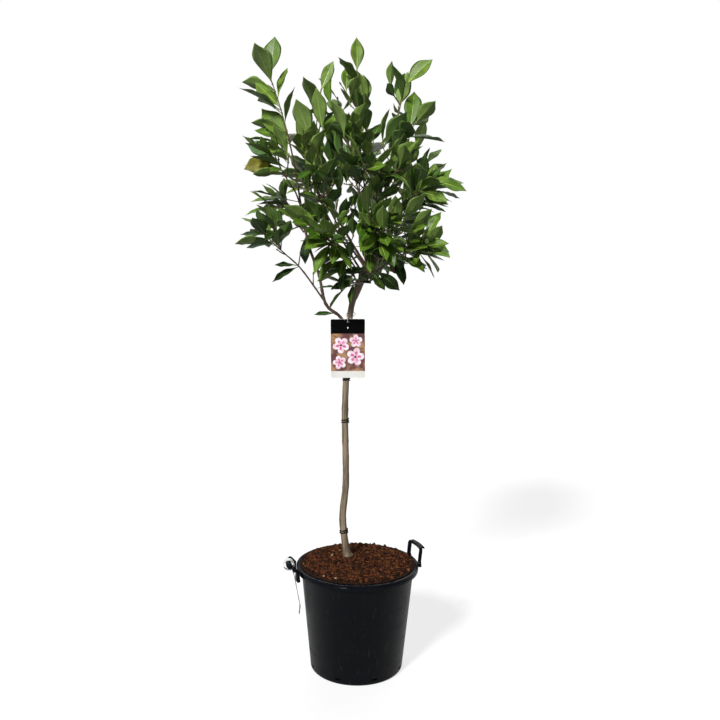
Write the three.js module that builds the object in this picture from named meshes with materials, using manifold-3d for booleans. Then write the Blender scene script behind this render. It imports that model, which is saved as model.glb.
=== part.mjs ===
// A young magnolia grown as a standard: one thin clear stem, a loose crown of long
// leafy shoots, and a black nursery container full of potting soil.
// Millimetres, +Z up, the front towards -Y. The origin is the middle of the pot's
// flat underside, which is what the plant stands on.
import * as THREE from 'three';
import { mergeVertices } from 'three/addons/utils/BufferGeometryUtils.js';
import Module from 'manifold-3d';

const wasm = await Module();
wasm.setup();

// ---------------------------------------------------------------- driving sizes

const GAP = 0.3; // between pieces that touch

const POT = {
  height: 347, // floor to the top of the rim
  rim: 200, // outer radius of the rim
  skirt: 18, // height of the rim's turned-down edge
  skirtWall: 3.2,
  groove: 1.5, // depth of the groove round the skirt
  neck: 183.5, // outer radius of the wall where it meets the rim
  foot: 151.5, // outer radius of the wall at the floor
  footRound: 6,
  wall: 3,
  floor: 4,
  steps: 36, // flats round the pot
  slots: { count: 8, width: 20, height: 6, up: 19, first: 22.5 },
};

const SOIL = {
  spill: 188, // how far it lies out on the rim
  edge: 350, // its height there
  mound: 3,
  crumb: 2,
  flat: 21, // radius of the level place under the stem
  rings: 4,
};

// Both handles are the same arch. Each follows the rim from `from` degrees, leans out
// by `lean` degrees from the top of the rim upwards, and has slid down by `sunk`.
const HANDLE = {
  sweep: 28, // degrees of the rim from leg to leg
  stand: 2.5, // between the rim and the legs
  tall: 46, // above the rim
  drop: 16, // how far the feet reach down outside the rim
  thick: 10,
  leg: 12,
  grip: 9,
  lip: 9, // how far the grip's lip stands out
  lipThick: 3.5,
  foot: 9, // how much wider each foot is than its leg
  corner: 9,
};
const HANDLES = {
  handle_right: { from: 6, lean: 6, sunk: 0 },
  handle_left: { from: 176.5, lean: 45, sunk: 16 },
};

// The stem's centre line and its radius there, from the flat cut on the soil, up
// over its two slight bends and out along the leaning head to the pruned tip.
const TRUNK = {
  sides: 12,
  steps: 2,
  stations: [
    { at: [-33, 33, 356], radius: 17 },
    { at: [-39, 33, 386], radius: 12 },
    { at: [-51, 33, 492], radius: 11.5 },
    { at: [-42, 33, 617], radius: 10.5 },
    { at: [-47, 33, 851], radius: 10.5 },
    { at: [-38, 33, 1096], radius: 9.5 },
    { at: [-29, 33, 1190], radius: 9.5 },
    { at: [-12, 33, 1241], radius: 12 },
    { at: [12, 33, 1303], radius: 14 },
    { at: [19, 33, 1332], radius: 9 },
  ],
};

// Each bough: its centre line, from inside the limb that carries it to the tip
// where its foliage begins, and its radius at either end.
const BOUGHS = {
  left: {
    line: [[-40, 33, 1086], [-63, 30, 1151], [-111, 8, 1196], [-132, -22, 1288],
      [-160, -35, 1368], [-182, -40, 1460], [-191, -42, 1518]],
    foot: 5.8,
    tip: 3.2,
  },
  left_low: { line: [[-107, 9, 1193], [-184, -45, 1303], [-237, -75, 1354]], foot: 3, tip: 2 },
  left_side: { line: [[-179, -38, 1420], [-205, -20, 1452], [-219, 0, 1484]], foot: 2.4, tip: 1.8 },
  left_mid: { line: [[-187, -41, 1490], [-202, -65, 1536], [-222, -85, 1567]], foot: 2.6, tip: 2 },
  left_inner: { line: [[-170, -34, 1399], [-147, 10, 1442], [-127, 50, 1482]], foot: 2.6, tip: 2 },
  centre_left: { line: [[16, 33, 1318], [-36, 10, 1399], [-84, -5, 1485]], foot: 4.5, tip: 3.2 },
  inner_left: { line: [[6, 25, 1293], [-51, -40, 1382], [-94, -75, 1450]], foot: 3.5, tip: 2.6 },
  front_left: { line: [[3, 22, 1283], [-28, -50, 1326], [-53, -95, 1359]], foot: 3, tip: 2.2 },
  centre: { line: [[19, 33, 1331], [2, 0, 1381], [10, -30, 1484]], foot: 4, tip: 3 },
  middle: { line: [[22, 28, 1318], [36, -20, 1399], [44, -55, 1465]], foot: 3.2, tip: 2.4 },
  right: { line: [[25, 33, 1312], [63, 35, 1386], [76, 30, 1524]], foot: 5, tip: 3.6 },
  top: { line: [[74, 33, 1493], [60, 45, 1560], [40, 52, 1629]], foot: 3.2, tip: 2.4 },
  right_mid: { line: [[29, 35, 1306], [75, 10, 1376], [101, -10, 1447]], foot: 3.5, tip: 2.6 },
  right_low: { line: [[32, 33, 1293], [63, 5, 1312], [90, -25, 1331]], foot: 2.8, tip: 2 },
  front: { line: [[13, 22, 1274], [27, -40, 1324], [36, -80, 1366]], foot: 3, tip: 2.4 },
  back_left: { line: [[9, 44, 1319], [-51, 110, 1403], [-89, 150, 1471]], foot: 3.5, tip: 2.6 },
  back: { line: [[15, 45, 1331], [5, 120, 1431], [-3, 150, 1504]], foot: 3.5, tip: 2.6 },
  back_right: { line: [[28, 44, 1319], [87, 110, 1405], [127, 150, 1473]], foot: 3.5, tip: 2.6 },
  back_low: { line: [[16, 45, 1280], [32, 95, 1319], [49, 140, 1353]], foot: 2.8, tip: 2.2 },
  back_top: { line: [[22, 42, 1331], [14, 85, 1451], [-13, 105, 1565]], foot: 4, tip: 3 },
};
const BOUGH_SIDES = 6;
const BOUGH_STEPS = 2; // between two points of its line

// Each mass of foliage grows on one leading shoot, from its bough's tip (or from
// `root` on the stem) to `tip`. `lean` is the way its leaves turn for light, and the
// seed settles what chance settles. USUAL holds what most of them share: side shoots
// and their reach, leaves on each shoot, a leaf's length, and the share of the
// leading shoot that is bare. A mass grows on the bough of its own name, or `on` another.
// Where the leading shoot's last leaf makes the crown's outline, `end` is that leaf,
// from its foot to its tip.
const USUAL = { shoots: 4, reach: 80, leaves: 5, blade: 125, bare: 0.05 };
const MASSES = {
  left_top: {
    on: 'left', tip: [-283, -55, 1885], lean: [-0.5, 0, 0.2], end: [14, 0, 121],
    shoots: 0, reach: 50, leaves: 11, blade: 128, bare: 0.35, seed: 108,
  },
  left_low: {
    tip: [-295, -100, 1410], lean: [-0.6, -0.1, 0], end: [-88, -10, -38],
    shoots: 1, reach: 60, leaves: 7, blade: 115, bare: 0.2, seed: 59,
  },
  left_side: {
    tip: [-244, 25, 1523], lean: [-0.4, 0.2, 0],
    shoots: 1, reach: 60, blade: 110, bare: 0.4, seed: 116,
  },
  left_mid: {
    tip: [-261, -110, 1640], lean: [-0.5, -0.2, 0.1], end: [-81, -10, 40],
    shoots: 1, reach: 70, leaves: 6, blade: 120, bare: 0.2, seed: 147,
  },
  left_inner: {
    tip: [-143, 90, 1594], lean: [-0.1, 0.2, 0.1],
    shoots: 3, reach: 70, blade: 115, seed: 2,
  },
  centre_left: {
    tip: [-130, -25, 1846], lean: [-0.2, 0, 0.15], end: [32, 0, 95],
    shoots: 3, reach: 90, leaves: 6, bare: 0.1, seed: 161,
  },
  inner_left: { tip: [-154, -115, 1681], lean: [-0.2, -0.2, 0.1], blade: 130, seed: 14 },
  front_left: { tip: [-116, -180, 1431], lean: [-0.2, -0.3, 0], blade: 130, seed: 222 },
  centre: { tip: [-53, -100, 1697], lean: [0, -0.3, 0.1], reach: 85, seed: 247 },
  middle: { tip: [77, -110, 1609], lean: [0.1, -0.3, 0.1], reach: 85, seed: 199 },
  right: { tip: [130, 20, 1877], lean: [0.35, 0, 0.15], end: [75, -20, 84], bare: 0.15, seed: 122 },
  top: {
    tip: [-20, 45, 1921], lean: [-0.1, 0, 0.15], end: [0, 0, 111],
    shoots: 3, reach: 90, blade: 115, bare: 0.1, seed: 137,
  },
  right_mid: {
    tip: [219, -60, 1581], lean: [0.4, -0.1, 0], end: [102, -10, -27],
    bare: 0.1, seed: 193,
  },
  right_low: {
    tip: [196, -95, 1389], lean: [0.4, -0.1, -0.1], end: [71, -15, -25],
    bare: 0.1, seed: 92,
  },
  front: {
    tip: [71, -190, 1433], lean: [0.1, -0.3, -0.1],
    shoots: 5, reach: 85, blade: 135, seed: 211,
  },
  back_left: {
    tip: [-188, 270, 1665], lean: [-0.3, 0.3, 0.1],
    reach: 90, leaves: 4, bare: 0.2, seed: 211,
  },
  back: { tip: [-9, 270, 1751], lean: [0, 0.3, 0.1], reach: 90, leaves: 4, bare: 0.2, seed: 241 },
  back_right: {
    tip: [216, 270, 1670], lean: [0.3, 0.3, 0.1],
    reach: 90, leaves: 4, bare: 0.2, seed: 179,
  },
  back_low: { tip: [82, 285, 1412], lean: [0, 0.4, -0.1], leaves: 4, bare: 0.2, seed: 104 },
  back_top: { tip: [-82, 130, 1855], lean: [-0.1, 0.3, 0.1], blade: 120, bare: 0.1, seed: 17 },
  low: {
    root: [0, 18, 1258], tip: [-28, -70, 1268], lean: [-0.2, -0.3, -0.4],
    shoots: 1, reach: 60, blade: 100, bare: 0.4, seed: 27,
  },
};

const TIE = {
  heights: { tie_lower: 444, tie_middle: 815, tie_upper: 954 },
  width: 8,
  thick: 2.2,
  stand: 1,
  slope: 5, // degrees, rising to the right
};
const LABEL = {
  width: 111,
  tall: 190,
  thick: 1.2,
  corner: 5,
  hole: 6,
  holeDrop: 9, // from the top edge down to the hole
  top: [-41, 15, 1149], // middle of the top edge
  turn: 1, // degrees, its right side up
};
const LOOP = { thick: 2, climb: 34, radius: 14.5, ply: 4.5, lock: 5 };
const STRIP = {
  width: 18,
  thick: 1.6,
  azimuth: 190.5, // where it hangs on the left grip
  eye: { out: 227, up: 355, across: 18, tall: 18 }, // loop round the grip
  tail: [[218, 342], [210, 322], [201, 278], [193, 235], [189, 216], [192, 189]],
};

// How the foliage grows.
const GOLDEN_ANGLE = THREE.MathUtils.degToRad(137.5);
const STEM_STEPS = 4; // of a leading shoot
const SIDE_STEPS = 3; // of a side shoot
const SHOOT = {
  first: 0.15, // share of the leading shoot below the first side shoot
  over: 0.6, // share of it that the side shoots are spread over
  scatter: 0.7, // of the way from one to the next
  length: [0.6, 1.2], // of the mass's reach
  ahead: 0.6, // parts of its direction: on along the leading shoot,
  out: 0.8, // away from it,
  lean: 0.4, // the mass's own lean,
  up: 0.25, // and upwards
  rise: 0.15, // how far it turns up at its end, of its length
  bare: 0.3,
  fewest: 3, // leaves
  tries: 6, // places round the leading shoot, and the turn from one to the next
  turnOn: 0.9,
  waver: 0.6,
};
const TWIG = { tip: 1.9, sideFoot: 2.3, sides: 3, clear: 5, margin: 6 };
const SETTING = { // of leaves on a shoot
  end: 0.97, // where the last but one stands at the furthest
  scatter: 0.6, // of the way from one leaf to the next
  open: 1.15, // angle to the shoot at its foot, and how much less it is at its end
  closing: 0.45,
  lastOpen: 0.35,
  lean: 0.6,
  lastLean: 0.3,
  tries: 9,
  turnOn: 0.85,
  waver: 0.7,
  ahead: 0.3, // how far a leaf's face looks along the shoot
  steepest: 0.06, // below this a face that looks up gives way to one that looks in
};
const FRONT = new THREE.Vector3(0, -1, 0.5); // the side to which end leaves turn their faces
const LEAF = {
  length: [0.75, 1.15], // of the mass's usual blade
  lastLength: 0.95,
  width: [0.34, 0.41], // of its length
  arch: [0.04, 0.2], // drop of its tip, of its length
  fold: [0.15, 0.55], // rise of its margins, of half its width
  roll: 1.8,
  endRoll: 0.4, // how much of that an end leaf keeps
  clear: 10, // from any bough
  apart: 9, // from the mass's own twigs and other leaves
  margin: 1.5, // from the next mass's space
  fullest: 1.3, // moves the widest place towards the tip
  blunt: 0.75, // the smaller, the blunter both ends
  widest: 0.56, // where that is, of its length
  foot: 0.8, // half its stalk's thickness, where it is sunk in the twig
  thickness: 1 / 50, // at the midrib, of its length
};

// ---------------------------------------------------------------------- colours

const LOOKS = {
  bark: { color: 0x80705f, roughness: 0.85 },
  twig: { color: 0x4b322a, roughness: 0.7 },
  leaf: { color: 0x3f6b26, roughness: 0.5 },
  pot: { color: 0x15171a, roughness: 0.4 },
  soil: { color: 0x5b3424, roughness: 1 },
  tie: { color: 0x14120f, roughness: 0.6 },
  card: { color: 0xa88a80, roughness: 0.35 },
  strip: { color: 0xdcdcd8, roughness: 0.5 },
};
const materials = {};
for (const [name, look] of Object.entries(LOOKS)) {
  materials[name] = new THREE.MeshStandardMaterial({ ...look, metalness: 0 });
}

// --------------------------------------------------------------- solids and meshes

/** A closed geometry as a solid that can be joined and cut. */
function solidOf(geometry) {
  const bare = geometry.clone();
  bare.deleteAttribute('normal');
  bare.deleteAttribute('uv');
  const merged = mergeVertices(bare, 1e-4);
  const corners = merged.index.array;
  const faces = [];
  for (let i = 0; i < corners.length; i += 3) {
    const [a, b, c] = corners.subarray(i, i + 3);
    if (a !== b && b !== c && c !== a) faces.push(a, b, c);
  }
  return new wasm.Manifold(new wasm.Mesh({
    numProp: 3,
    vertProperties: merged.attributes.position.array,
    triVerts: Uint32Array.from(faces),
  }));
}

/** The largest body of a solid as a named mesh: scraps and sealed hollows go. */
function meshOf(name, solid, material) {
  const bodies = solid.decompose();
  const body = bodies.reduce((best, next) => (next.volume() > best.volume() ? next : best));
  const { vertProperties, triVerts } = body.getMesh();
  const geometry = new THREE.BufferGeometry();
  geometry.setAttribute('position', new THREE.BufferAttribute(vertProperties, 3));
  geometry.setIndex(new THREE.BufferAttribute(triVerts, 1));
  geometry.computeVertexNormals();
  const mesh = new THREE.Mesh(geometry, material);
  mesh.name = name;
  return mesh;
}

/** Closed skin over rings that each run clockwise seen along their row. */
function skin(rings, tip = null) {
  const count = rings[0].length;
  const corners = rings.flat();
  const last = corners.length - count;
  const faces = [];
  for (let k = 1; k < count - 1; k += 1) faces.push(0, k + 1, k);
  for (let ring = 0; ring < last; ring += count) {
    for (let k = 0; k < count; k += 1) {
      const a = ring + k;
      const b = ring + ((k + 1) % count);
      faces.push(a, b, b + count, a, b + count, a + count);
    }
  }
  if (tip) {
    for (let k = 0; k < count; k += 1) faces.push(last + k, last + ((k + 1) % count), corners.length);
    corners.push(tip);
  } else {
    for (let k = 1; k < count - 1; k += 1) faces.push(last, last + k, last + k + 1);
  }
  const geometry = new THREE.BufferGeometry().setFromPoints(corners);
  geometry.setIndex(faces);
  return geometry;
}

const vector = (place) => new THREE.Vector3(...place);
const along = (start, direction, length) => start.clone().addScaledVector(direction, length);

/**
 * A tapering limb with flat ends, its foot square to its line or cut level; `extra`
 * makes it thicker and longer all round.
 */
function limbGeometry(line, radii, sides, extra = 0, level = false) {
  const rings = [];
  let up = new THREE.Vector3(0, 1, 0);
  line.forEach((centre, i) => {
    const tangent = line[Math.min(i + 1, line.length - 1)].clone().sub(line[Math.max(i - 1, 0)]);
    tangent.normalize();
    if (level && i === 0) tangent.set(0, 0, 1);
    up = up.clone().addScaledVector(tangent, -up.dot(tangent)).normalize();
    const side = tangent.clone().cross(up);
    const end = (i === line.length - 1) - (i === 0);
    const middle = along(centre, tangent, extra * end);
    const ring = [];
    for (let k = 0; k < sides; k += 1) {
      const turn = (2 * Math.PI * k) / sides;
      const spoke = up.clone().multiplyScalar(Math.cos(turn)).addScaledVector(side, Math.sin(turn));
      ring.push(along(middle, spoke, radii[i] + extra));
    }
    rings.push(ring);
  });
  return skin(rings);
}

// ------------------------------------------------------------------ trunk and boughs

/** Smooth line through the given places, with `steps` points from one to the next. */
function smoothLine(places, steps) {
  const curve = new THREE.CatmullRomCurve3(places.map(vector), false, 'catmullrom', 0.5);
  return curve.getPoints((places.length - 1) * steps);
}

function growTrunk() {
  const line = smoothLine(TRUNK.stations.map((station) => station.at), TRUNK.steps);
  const radii = line.map((_, i) => {
    const place = i / TRUNK.steps;
    const before = Math.min(Math.floor(place), TRUNK.stations.length - 2);
    const { lerp } = THREE.MathUtils;
    return lerp(TRUNK.stations[before].radius, TRUNK.stations[before + 1].radius, place - before);
  });
  return { line, radii, sides: TRUNK.sides, level: true };
}

function growBough({ line: places, foot, tip }) {
  const line = smoothLine(places, BOUGH_STEPS);
  const radii = line.map((_, i) => THREE.MathUtils.lerp(foot, tip, i / (line.length - 1)));
  return { line, radii, sides: BOUGH_SIDES };
}

const limbSolid = ({ line, radii, sides, level }, extra = 0) => (
  solidOf(limbGeometry(line, radii, sides, extra, level)));

const trunk = growTrunk();
const boughs = {};
for (const [name, bough] of Object.entries(BOUGHS)) boughs[name] = growBough(bough);

// --------------------------------------------------------------------- the foliage

/** Repeatable random numbers from 0 to 1. */
function seeded(seed) {
  const modulus = 2147483647;
  let state = (seed * 7919 + 104729) % modulus;
  const draw = () => {
    state = (state * 48271) % modulus;
    return state / modulus;
  };
  draw();
  draw();
  return draw;
}

/** The place and the heading at a share of the way along a line of points. */
function stationOn(line, share) {
  const x = share * (line.length - 1);
  const i = Math.min(Math.floor(x), line.length - 2);
  return {
    place: line[i].clone().lerp(line[i + 1], x - i),
    heading: line[i + 1].clone().sub(line[i]).normalize(),
  };
}

/** Unit vector square to an axis, turned about it. */
function spokeOf(axis, turn) {
  const reference = Math.abs(axis.y) < 0.9 ? new THREE.Vector3(0, 1, 0) : new THREE.Vector3(1, 0, 0);
  const side = axis.clone().cross(reference).normalize();
  const other = axis.clone().cross(side);
  return side.multiplyScalar(Math.cos(turn)).addScaledVector(other, Math.sin(turn));
}

function leadingShoot({ on, root, tip }) {
  const start = root ? vector(root) : boughs[on].line.at(-1).clone();
  const end = vector(tip);
  const heading = root ? end.clone().sub(start).normalize() : stationOn(boughs[on].line, 1).heading;
  const control = along(start, heading, start.distanceTo(end) / 2);
  return new THREE.QuadraticBezierCurve3(start, control, end).getPoints(STEM_STEPS);
}

const masses = {};
for (const [name, given] of Object.entries(MASSES)) {
  const mass = { ...USUAL, on: name, ...given };
  const end = mass.end && vector(mass.end);
  masses[name] = { ...mass, end, lean: vector(mass.lean), stem: leadingShoot(mass) };
}

/** Straight pieces of a line, each with the limb's radius there. */
function pieces(line, radii = []) {
  return line.slice(1).map((end, i) => ({
    segment: new THREE.Line3(line[i], end),
    radius: radii[i] ?? 0,
  }));
}

const limbPieces = [trunk, ...Object.values(boughs)].flatMap(({ line, radii }) => pieces(line, radii));
const stemPieces = Object.entries(masses).flatMap(([name, { stem }]) => (
  pieces(stem).map((piece) => ({ ...piece, name }))));

const nearest = new THREE.Vector3();
function distanceTo({ segment, radius }, point) {
  return segment.closestPointToPoint(point, true, nearest).distanceTo(point) - radius;
}

/**
 * A mass's space is all that lies nearer to its own leading shoot than to any
 * other's. True when the points are in it, and clear of the limbs.
 */
function isFree(points, name, clear, margin) {
  return points.every((point) => {
    if (limbPieces.some((piece) => distanceTo(piece, point) < clear)) return false;
    let own = Infinity;
    let other = Infinity;
    for (const piece of stemPieces) {
      const distance = distanceTo(piece, point);
      if (piece.name === name) own = Math.min(own, distance);
      else other = Math.min(other, distance);
    }
    return own + margin < other;
  });
}

/** A point of a leaf: a share of its length along, and from -1 to 1 across. */
function leafPoint({ base, direction, face, length, width, arch, fold }, share, across) {
  const outline = Math.max(Math.sin(Math.PI * share ** LEAF.fullest), 0) ** LEAF.blunt;
  const off = across * 0.5 * width * outline;
  const side = direction.clone().cross(face).normalize();
  return along(base, direction, length * share)
    .addScaledVector(face, fold * Math.abs(off) - arch * length * share * share)
    .addScaledVector(side, off);
}

const ALONG = [0.2, 0.3, 0.4, 0.5, 0.6, 0.7, 0.8, 0.9, 1];
const ACROSS = [-1, -0.5, 0, 0.5, 1];
const leafSamples = (leaf) => ALONG.flatMap((share) => ACROSS.map((off) => leafPoint(leaf, share, off)));

const LEAF_FACES = [
  [2, 3, 6], [3, 4, 6], [4, 5, 6], [5, 2, 6], // tip half
  [0, 3, 2], [0, 1, 3], [1, 4, 3], [1, 5, 4], [1, 0, 5], [0, 2, 5], // stalk half
];

/** A folded, arched blade, thickest at its midrib; its foot, an upright edge, is sunk in the twig. */
function leafGeometry(leaf) {
  const half = (leaf.length * LEAF.thickness) / 2;
  const middle = leafPoint(leaf, LEAF.widest, 0);
  const geometry = new THREE.BufferGeometry().setFromPoints([
    along(leaf.base, leaf.face, LEAF.foot),
    along(leaf.base, leaf.face, -LEAF.foot),
    along(middle, leaf.face, half),
    leafPoint(leaf, LEAF.widest, 1),
    along(middle, leaf.face, -half),
    leafPoint(leaf, LEAF.widest, -1),
    leafPoint(leaf, 1, 0),
  ]);
  geometry.setIndex(LEAF_FACES.flat());
  return geometry;
}

/** A chance number between two. */
const between = (random, [low, high]) => low + (high - low) * random();

/** The leading shoot, and side shoots up it, each turned by the golden angle. */
function growShoots(name, mass, random) {
  const shoots = [{ line: mass.stem, bare: mass.bare, leaves: mass.leaves, end: mass.end }];
  const phase = random() * 2 * Math.PI;
  for (let j = 0; j < mass.shoots; j += 1) {
    const share = SHOOT.first + (SHOOT.over * (j + random() * SHOOT.scatter)) / mass.shoots;
    const length = mass.reach * between(random, SHOOT.length);
    const jitter = random() - 0.5;
    const { place, heading } = stationOn(mass.stem, share);
    for (let attempt = 0; attempt < SHOOT.tries; attempt += 1) {
      const turn = phase + j * GOLDEN_ANGLE + attempt * SHOOT.turnOn + jitter * SHOOT.waver;
      const direction = heading.clone().multiplyScalar(SHOOT.ahead)
        .addScaledVector(spokeOf(heading, turn), SHOOT.out)
        .addScaledVector(mass.lean, SHOOT.lean);
      direction.z += SHOOT.up;
      direction.normalize();
      const line = [];
      for (let step = 0; step <= SIDE_STEPS; step += 1) {
        const point = along(place, direction, (length * step) / SIDE_STEPS);
        point.z += SHOOT.rise * length * (step / SIDE_STEPS) ** 2;
        line.push(point);
      }
      if (isFree(line.slice(1), name, TWIG.clear, TWIG.margin)) {
        shoots.push({ line, bare: SHOOT.bare, leaves: Math.max(mass.leaves - 1, SHOOT.fewest) });
        break;
      }
    }
  }
  return shoots;
}

/** The way a leaf looks: upwards, or to the front for an end leaf, rolled a little. */
function faceOf(heading, direction, spoke, roll, end) {
  const face = end ? FRONT.clone() : heading.clone().multiplyScalar(SETTING.ahead);
  if (!end) face.z += 1;
  face.addScaledVector(direction, -face.dot(direction));
  if (face.lengthSq() < SETTING.steepest) {
    face.copy(spoke).negate().addScaledVector(direction, spoke.dot(direction));
  }
  face.normalize();
  const rolled = direction.clone().cross(face);
  return face.addScaledVector(rolled, end ? roll * LEAF.endRoll : roll).normalize();
}

/**
 * Leaves up one shoot, again by the golden angle. One that would touch a limb, a twig
 * or a leaf placed before, or leave the mass's space, is turned on until it fits.
 */
function growLeaves(name, mass, shoot, random, twigs, placed) {
  const leaves = [];
  const phase = random() * 2 * Math.PI;
  for (let i = 0; i < shoot.leaves; i += 1) {
    const last = i === shoot.leaves - 1;
    const end = last ? shoot.end : undefined;
    const step = (i + SETTING.scatter * random()) / (shoot.leaves - 1);
    const share = last ? 1 : shoot.bare + (SETTING.end - shoot.bare) * step;
    const { place: base, heading } = stationOn(shoot.line, share);
    const open = last ? SETTING.lastOpen : SETTING.open - (SETTING.closing * i) / shoot.leaves;
    const usual = mass.blade * between(random, LEAF.length) * (last ? LEAF.lastLength : 1);
    const length = end ? end.length() : usual;
    const width = length * between(random, LEAF.width);
    const arch = between(random, LEAF.arch);
    const fold = between(random, LEAF.fold);
    const jitter = random() - 0.5;
    const roll = (random() - 0.5) * LEAF.roll;
    for (let attempt = 0; attempt < SETTING.tries; attempt += 1) {
      const turn = phase + i * GOLDEN_ANGLE + attempt * SETTING.turnOn + jitter * SETTING.waver;
      const spoke = spokeOf(heading, turn);
      const set = heading.clone().multiplyScalar(Math.cos(open))
        .addScaledVector(spoke, Math.sin(open))
        .addScaledVector(mass.lean, last ? SETTING.lastLean : SETTING.lean);
      const direction = (end ? end.clone() : set).normalize();
      const face = faceOf(heading, direction, spoke, roll, end);
      const leaf = { base, direction, face, length, width, arch, fold };
      const samples = leafSamples(leaf);
      const blade = samples.slice(2 * ACROSS.length);
      const apart = blade.every((point) => (
        placed.every((other) => point.distanceTo(other) > LEAF.apart)
        && twigs.every((twig) => distanceTo(twig, point) > LEAF.apart)));
      if (apart && isFree(samples, name, LEAF.clear, LEAF.margin)) {
        placed.push(...blade);
        leaves.push(leaf);
        break;
      }
    }
  }
  return leaves;
}

/** One mass: its twigs and leaves joined into one solid. */
function growMass(name) {
  const mass = masses[name];
  const random = seeded(mass.seed);
  const stemFoot = mass.root ? TWIG.sideFoot : BOUGHS[mass.on].tip;
  const parts = [];
  const placed = []; // points of the leaves so far
  const shoots = growShoots(name, mass, random);
  const twigs = shoots.flatMap(({ line }) => pieces(line));
  shoots.forEach((shoot, index) => {
    const { line } = shoot;
    const foot = index === 0 ? stemFoot : TWIG.sideFoot;
    const radii = line.map((_, i) => THREE.MathUtils.lerp(foot, TWIG.tip, i / (line.length - 1)));
    parts.push(solidOf(limbGeometry(line, radii, TWIG.sides)));
    const leaves = growLeaves(name, mass, shoot, random, twigs, placed);
    parts.push(...leaves.map((leaf) => solidOf(leafGeometry(leaf))));
  });
  return wasm.Manifold.union(parts);
}

// ------------------------------------------------------------------------- the pot

/** A turned shape from a closed row of [radius, height] corners. */
function turned(corners, steps) {
  const profile = corners.map(([radius, height]) => new THREE.Vector2(radius, height));
  return new THREE.LatheGeometry(profile, steps).rotateX(Math.PI / 2);
}

const wallRadiusAt = (height) => (
  POT.foot + ((POT.neck - POT.foot) * height) / (POT.height - POT.skirt));

/** The container: tapering wall, rim turned down to a grooved skirt, drain slots. */
function potSolid() {
  const top = POT.height;
  const low = top - POT.skirt;
  const under = top - POT.skirtWall;
  const inside = POT.rim - POT.skirtWall;
  const { rim, groove, foot, footRound } = POT;
  const shell = solidOf(turned([
    [0, 0],
    [foot - footRound, 0],
    [foot - footRound * 0.3, footRound * 0.3],
    [foot, footRound],
    [wallRadiusAt(under), under],
    [inside, under],
    [inside, low],
    [rim, low],
    [rim, top - 9],
    [rim - groove, top - 7],
    [rim, top - 5],
    [rim, top - 2.5],
    [rim - 2.5, top],
    [wallRadiusAt(top) - POT.wall, top],
    [wallRadiusAt(POT.floor) - POT.wall, POT.floor],
    [0, POT.floor],
  ], POT.steps));
  const { slots } = POT;
  const cuts = [];
  for (let i = 0; i < slots.count; i += 1) {
    const turn = THREE.MathUtils.degToRad(slots.first + (360 * i) / slots.count);
    const cut = new THREE.BoxGeometry(4 * POT.wall, slots.width, slots.height);
    cut.translate(wallRadiusAt(slots.up) - POT.wall / 2, 0, slots.up).rotateZ(turn);
    cuts.push(solidOf(cut));
  }
  return shell.subtract(wasm.Manifold.union(cuts));
}

/** Soil heaped in the pot up to its rim: mounded, crumbly, level where the stem stands. */
function soilSolid() {
  const inner = (height) => wallRadiusAt(height) - POT.wall - GAP;
  const { spill, edge, mound, crumb, flat, rings } = SOIL;
  const foot = POT.floor + GAP;
  const brim = POT.height + GAP;
  const corners = [[0, foot], [inner(foot), foot], [inner(brim), brim], [spill, brim], [spill, edge]];
  for (let i = rings; i >= 0; i -= 1) corners.push([(i / (rings + 1)) * spill, edge + 0.1]);
  const soil = turned(corners, POT.steps);
  const places = soil.attributes.position;
  for (let i = 0; i < places.count; i += 1) {
    if (places.getZ(i) > edge + 0.01) {
      const x = places.getX(i);
      const y = places.getY(i);
      const rise = 1 - (x * x + y * y) / spill ** 2;
      const crumbs = Math.sin(x / 13 + y / 29) + Math.sin(y / 11 - x / 23);
      places.setZ(i, edge + (mound + crumb * crumbs) * rise + 5 * Math.sqrt(rise));
    }
  }
  const [x, y, z] = TRUNK.stations[0].at;
  const level = new THREE.CylinderGeometry(flat, flat, 40, 16).rotateX(Math.PI / 2);
  return solidOf(soil).subtract(solidOf(level.translate(x, y, z - GAP + 20)));
}

/** Bends a flat shape (along the rim, outwards, up) round the rim, then leans it. */
function bendRoundRim(geometry, { from, lean }) {
  const middle = THREE.MathUtils.degToRad(from + HANDLE.sweep / 2);
  const tilt = THREE.MathUtils.degToRad(lean);
  const places = geometry.attributes.position;
  for (let i = 0; i < places.count; i += 1) {
    const outward = places.getY(i);
    const up = places.getZ(i);
    const rise = Math.max(up, 0);
    const leant = outward * (up > 0 ? Math.cos(tilt) : 1) + rise * Math.sin(tilt);
    const radius = POT.rim + HANDLE.stand + leant;
    const height = up > 0 ? rise * Math.cos(tilt) - outward * Math.sin(tilt) : up;
    const turn = middle - places.getX(i) / POT.rim;
    places.setXYZ(i, radius * Math.cos(turn), radius * Math.sin(turn), POT.height + height);
  }
  return geometry;
}

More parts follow.
